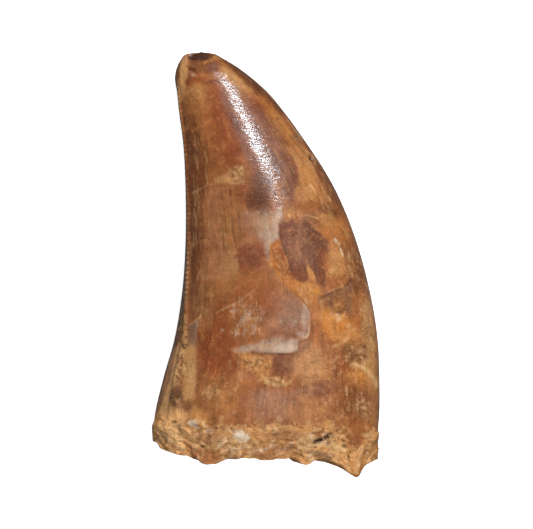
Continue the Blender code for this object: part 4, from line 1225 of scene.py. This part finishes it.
texture = {}
for name, (size, detail, roughness) in EVEN.items():
    texture[name] = add("ShaderNodeTexNoise", {
        "Vector": place, "Scale": 1 / (size * MM), "Detail": detail, "Roughness": roughness})
for name, (width, length, detail) in ALONG.items():
    drawn_out = add("ShaderNodeMapping", {
        "Vector": flow_read, "Scale": (1 / width, 1 / length, 1 / width)})
    texture[name] = add("ShaderNodeTexNoise", {
        "Vector": drawn_out, "Scale": 1.0, "Detail": detail, "Roughness": 0.6})
grains = add("ShaderNodeTexVoronoi", {"Vector": place, "Scale": 1 / (GRAIN * MM)}, "Color")
texture["grains"] = add("ShaderNodeSeparateColor", {"Color": grains}, "Red")
tipward = add("ShaderNodeSeparateXYZ", {"Vector": place}, "Y")
print("textures:", sorted(texture))

# %% Ranges: how far each texture goes in the finish
RANGES = {  # what it reads, where in that it begins and ends, and its values there
    "gritty": (grit_read, 0.4, 0.9, 0.0, 1.0),
    "dull": (grit_read, 0.05, 0.45, 0.0, 1.0),
    "line tone": (texture["growth lines"], 0.3, 0.7, -0.2, 0.2),
    "line strength": (texture["patches"], 0.42, 0.62, 0.25, 1.0),
    "grain tone": (texture["grains"], 0.0, 1.0, 0.90, 1.10),
    "roughness": (texture["clouds"], 0.3, 0.7, 0.32, 0.48),
    "coat": (texture["specks"], 0.3, 0.5, 0.7, 1.0),
    "crinkle height": (tipward, 8 * MM, 20 * MM, 0.028, 0.05),  # it grows towards the tip
}

reach = {}
for name, (value, begins, ends, first, last) in RANGES.items():
    reach[name] = add("ShaderNodeMapRange", {
        "Value": value, "From Min": begins, "From Max": ends, "To Min": first, "To Max": last},
        interpolation_type="SMOOTHSTEP")
print("ranges:", sorted(reach))

# %% Colour over colour: a Mix node's sockets 6 and 7 are its colours, and 2 and 3 its numbers


def toned(colour, tone, *sways):
    """A colour made lighter and darker. A sway is a texture and how far it takes the tone."""
    for name, amount in sways:
        sway = add("ShaderNodeMapRange", {
            "Value": texture[name], "From Min": 0.3, "From Max": 0.7, "To Min": -amount,
            "To Max": amount}, interpolation_type="SMOOTHSTEP")
        tone = add("ShaderNodeMath", {0: tone, 1: sway}, operation="ADD")
    return add("ShaderNodeVectorMath", {0: colour, 3: tone}, operation="SCALE")


def tinted(colour, *tints):
    """A colour with tints over it. A tint is a texture, where in it the tint begins and where
    it is full, its strength and its own colour."""
    for name, begins, full, strength, tint in tints:
        amount = add("ShaderNodeMapRange", {
            "Value": texture[name], "From Min": begins, "From Max": full, "To Max": strength},
            interpolation_type="SMOOTHSTEP")
        colour = add("ShaderNodeMix", {0: amount, 6: colour, 7: linear(tint)}, 2, data_type="RGBA")
    return colour


# %% The enamel's colour: growth lines that come and go, clouds of stain, flecks and motes
lined = add("ShaderNodeMath", {0: reach["line tone"], 1: reach["line strength"], 2: 1.0},
            operation="MULTIPLY_ADD")
enamel_colour = tinted(
    toned(stain_read, lined, ("bands", 0.07), ("clouds", 0.16), ("specks", 0.12)),
    ("clouds", 0.53, 0.68, 0.28, "#C88A50"), ("clouds", 0.47, 0.33, 0.32, "#6A3A1E"),
    ("flecks", 0.57, 0.67, 0.5, "#C89A6A"), ("motes", 0.40, 0.30, 0.5, "#4A2412"))
print("enamel:", len(tree.nodes), "nodes so far")

# %% The crust's colour: lumps and grains of its own shades, pale grains and dark pores
crust_colour = tinted(
    toned(stain_read, reach["grain tone"], ("lumps", 0.17), ("specks", 0.15)),
    ("lumps", 0.52, 0.66, 0.5, "#E8CDA4"), ("pores", 0.42, 0.33, 0.7, "#74431F"))
colour = add("ShaderNodeMix", {0: reach["gritty"], 6: enamel_colour, 7: crust_colour}, 2,
             data_type="RGBA")
tree.links.new(colour, shader.inputs["Base Color"])
print("with the crust:", len(tree.nodes), "nodes")

# %% Gloss: the enamel has a clear coat, and grit is dull
DULLER = 0.35  # how much rougher grit is than enamel

roughness = add("ShaderNodeMath", {0: reach["dull"], 1: DULLER, 2: reach["roughness"]},
                operation="MULTIPLY_ADD")
clean = add("ShaderNodeMath", {0: 1.0, 1: reach["dull"]}, operation="SUBTRACT")
coat = add("ShaderNodeMath", {0: reach["coat"], 1: clean}, operation="MULTIPLY")
tree.links.new(roughness, shader.inputs["Roughness"])
tree.links.new(coat, shader.inputs["Coat Weight"])
shader.inputs["Coat Roughness"].default_value = 0.14
shader.inputs["Specular IOR Level"].default_value = 0.36
print("with the gloss:", len(tree.nodes), "nodes")

# %% Bump: the gloss is crinkled across the growth lines, and the crust is as rough as its grains
HEIGHTS = {  # mm
    "enamel": (("growth lines", 0.004), ("swells", 0.03), ("crinkle", reach["crinkle height"]),
               ("specks", 0.003)),
    "crust": (("lumps", 0.16), ("specks", 0.04)),
}

relief = {}
for name, rows in HEIGHTS.items():
    relief[name] = 0.0
    for pattern, height in rows:
        relief[name] = add("ShaderNodeMath", {0: texture[pattern], 1: height, 2: relief[name]},
                           operation="MULTIPLY_ADD")
height = add("ShaderNodeMix", {0: reach["gritty"], 2: relief["enamel"], 3: relief["crust"]})
height = add("ShaderNodeMath", {0: height, 1: MM}, operation="MULTIPLY")
bump = add("ShaderNodeBump", {"Height": height, "Strength": 1.0, "Distance": 1.0})
for socket in ("Normal", "Coat Normal"):
    tree.links.new(bump, shader.inputs[socket])
tooth.data.materials.append(finish)
print("finish:", len(tree.nodes), "nodes")

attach(tooth, "root")
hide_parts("tooth")

# %% [markdown]
# ## The table, the light and the camera
#
# The tooth lies on a white card. One lamp, high over the tip, draws the long highlight on the
# crown, and a weaker one carries it on. Two large soft ones light the colours and stay out of
# the gloss. The camera looks straight down through a long lens.

# %% The table
TABLE_SIZE = 1.6  # m
CARD, CARD_GLOW = "#F4F4F4", 0.8  # lit from behind, so shadows fade

bpy.ops.object.select_all(action="DESELECT")
bpy.ops.mesh.primitive_plane_add(size=TABLE_SIZE, location=(0, 0, 0))
floor = bpy.context.object
floor.name = "table"
paper, tree, shader = new_material("white card")
for socket, value in (("Base Color", linear(CARD)), ("Roughness", 0.9),
                      ("Emission Color", (1, 1, 1, 1)), ("Emission Strength", CARD_GLOW)):
    shader.inputs[socket].default_value = value
floor.data.materials.append(paper)
floor.visible_glossy = False  # the card's glow stays out of the tooth's gloss
floor.visible_diffuse = False

# %% Light
AIM = Vector((0.0, 10.0, 8.0)) * MM
SOFT = (0.98, 0.97, 0.97)
SHINE = (0.76, 0.91, 1.0)  # bluer, because the brown below the gloss adds red to it
# Name, its angles from the vertical towards x and y, distance, size, power and colour, and
# whether it shows in the gloss. If it doesn't, it lights the colours, so each is set by itself.
LIGHTS = (
    ("key", 15.2, 49, 0.5, (0.055, 0.07), 0.8, SHINE, True),
    ("low key", 11.5, 36, 0.5, (0.03, 0.07), 0.085, SHINE, True),
    ("key glow", 18, 44, 0.5, (0.15, 0.15), 1.65, SOFT, False),
    ("fill", 13, -12, 0.7, (0.7, 0.7), 3.9, SOFT, False),
)

world = bpy.data.worlds.new("studio")
world.use_nodes = True
sky = world.node_tree.nodes["Background"].inputs
sky["Color"].default_value, sky["Strength"].default_value = (1, 1, 1, 1), 0.12
bpy.context.scene.world = world

for name, toward_x, toward_y, distance, size, power, colour, mirrored in LIGHTS:
    toward = Vector((math.tan(math.radians(toward_x)), math.tan(math.radians(toward_y)), 1.0))
    place = AIM + toward.normalized() * distance
    bpy.ops.object.light_add(type="AREA", location=place)
    light = bpy.context.object
    light.name = name
    light.rotation_euler = (place - AIM).to_track_quat("Z", "Y").to_euler()
    light.data.shape = "RECTANGLE"
    light.data.size, light.data.size_y = size
    light.data.energy, light.data.color = power, colour
    light.visible_glossy, light.visible_diffuse = mirrored, not mirrored
print("lights:", [row[0] for row in LIGHTS])

# %% Camera
PIXEL = 0.13  # mm of the tooth that one pixel of the picture shows
FRAME_WIDTH = 533  # pixels
LENS_LENGTH, SENSOR = 300.0, 36.0
FOCUS_LEVEL = 7.5
VIEW_CENTRE = (0.13, -0.19)

distance = FRAME_WIDTH * PIXEL * LENS_LENGTH / SENSOR
bpy.ops.object.camera_add(location=Vector((*VIEW_CENTRE, FOCUS_LEVEL + distance)) * MM)
camera = bpy.context.object
camera.data.lens, camera.data.sensor_width = LENS_LENGTH, SENSOR
camera.data.clip_start, camera.data.clip_end = 0.05, 5.0
bpy.context.scene.camera = camera
bpy.context.scene.view_settings.view_transform = "Standard"
print("camera height, mm:", round(distance, 1))
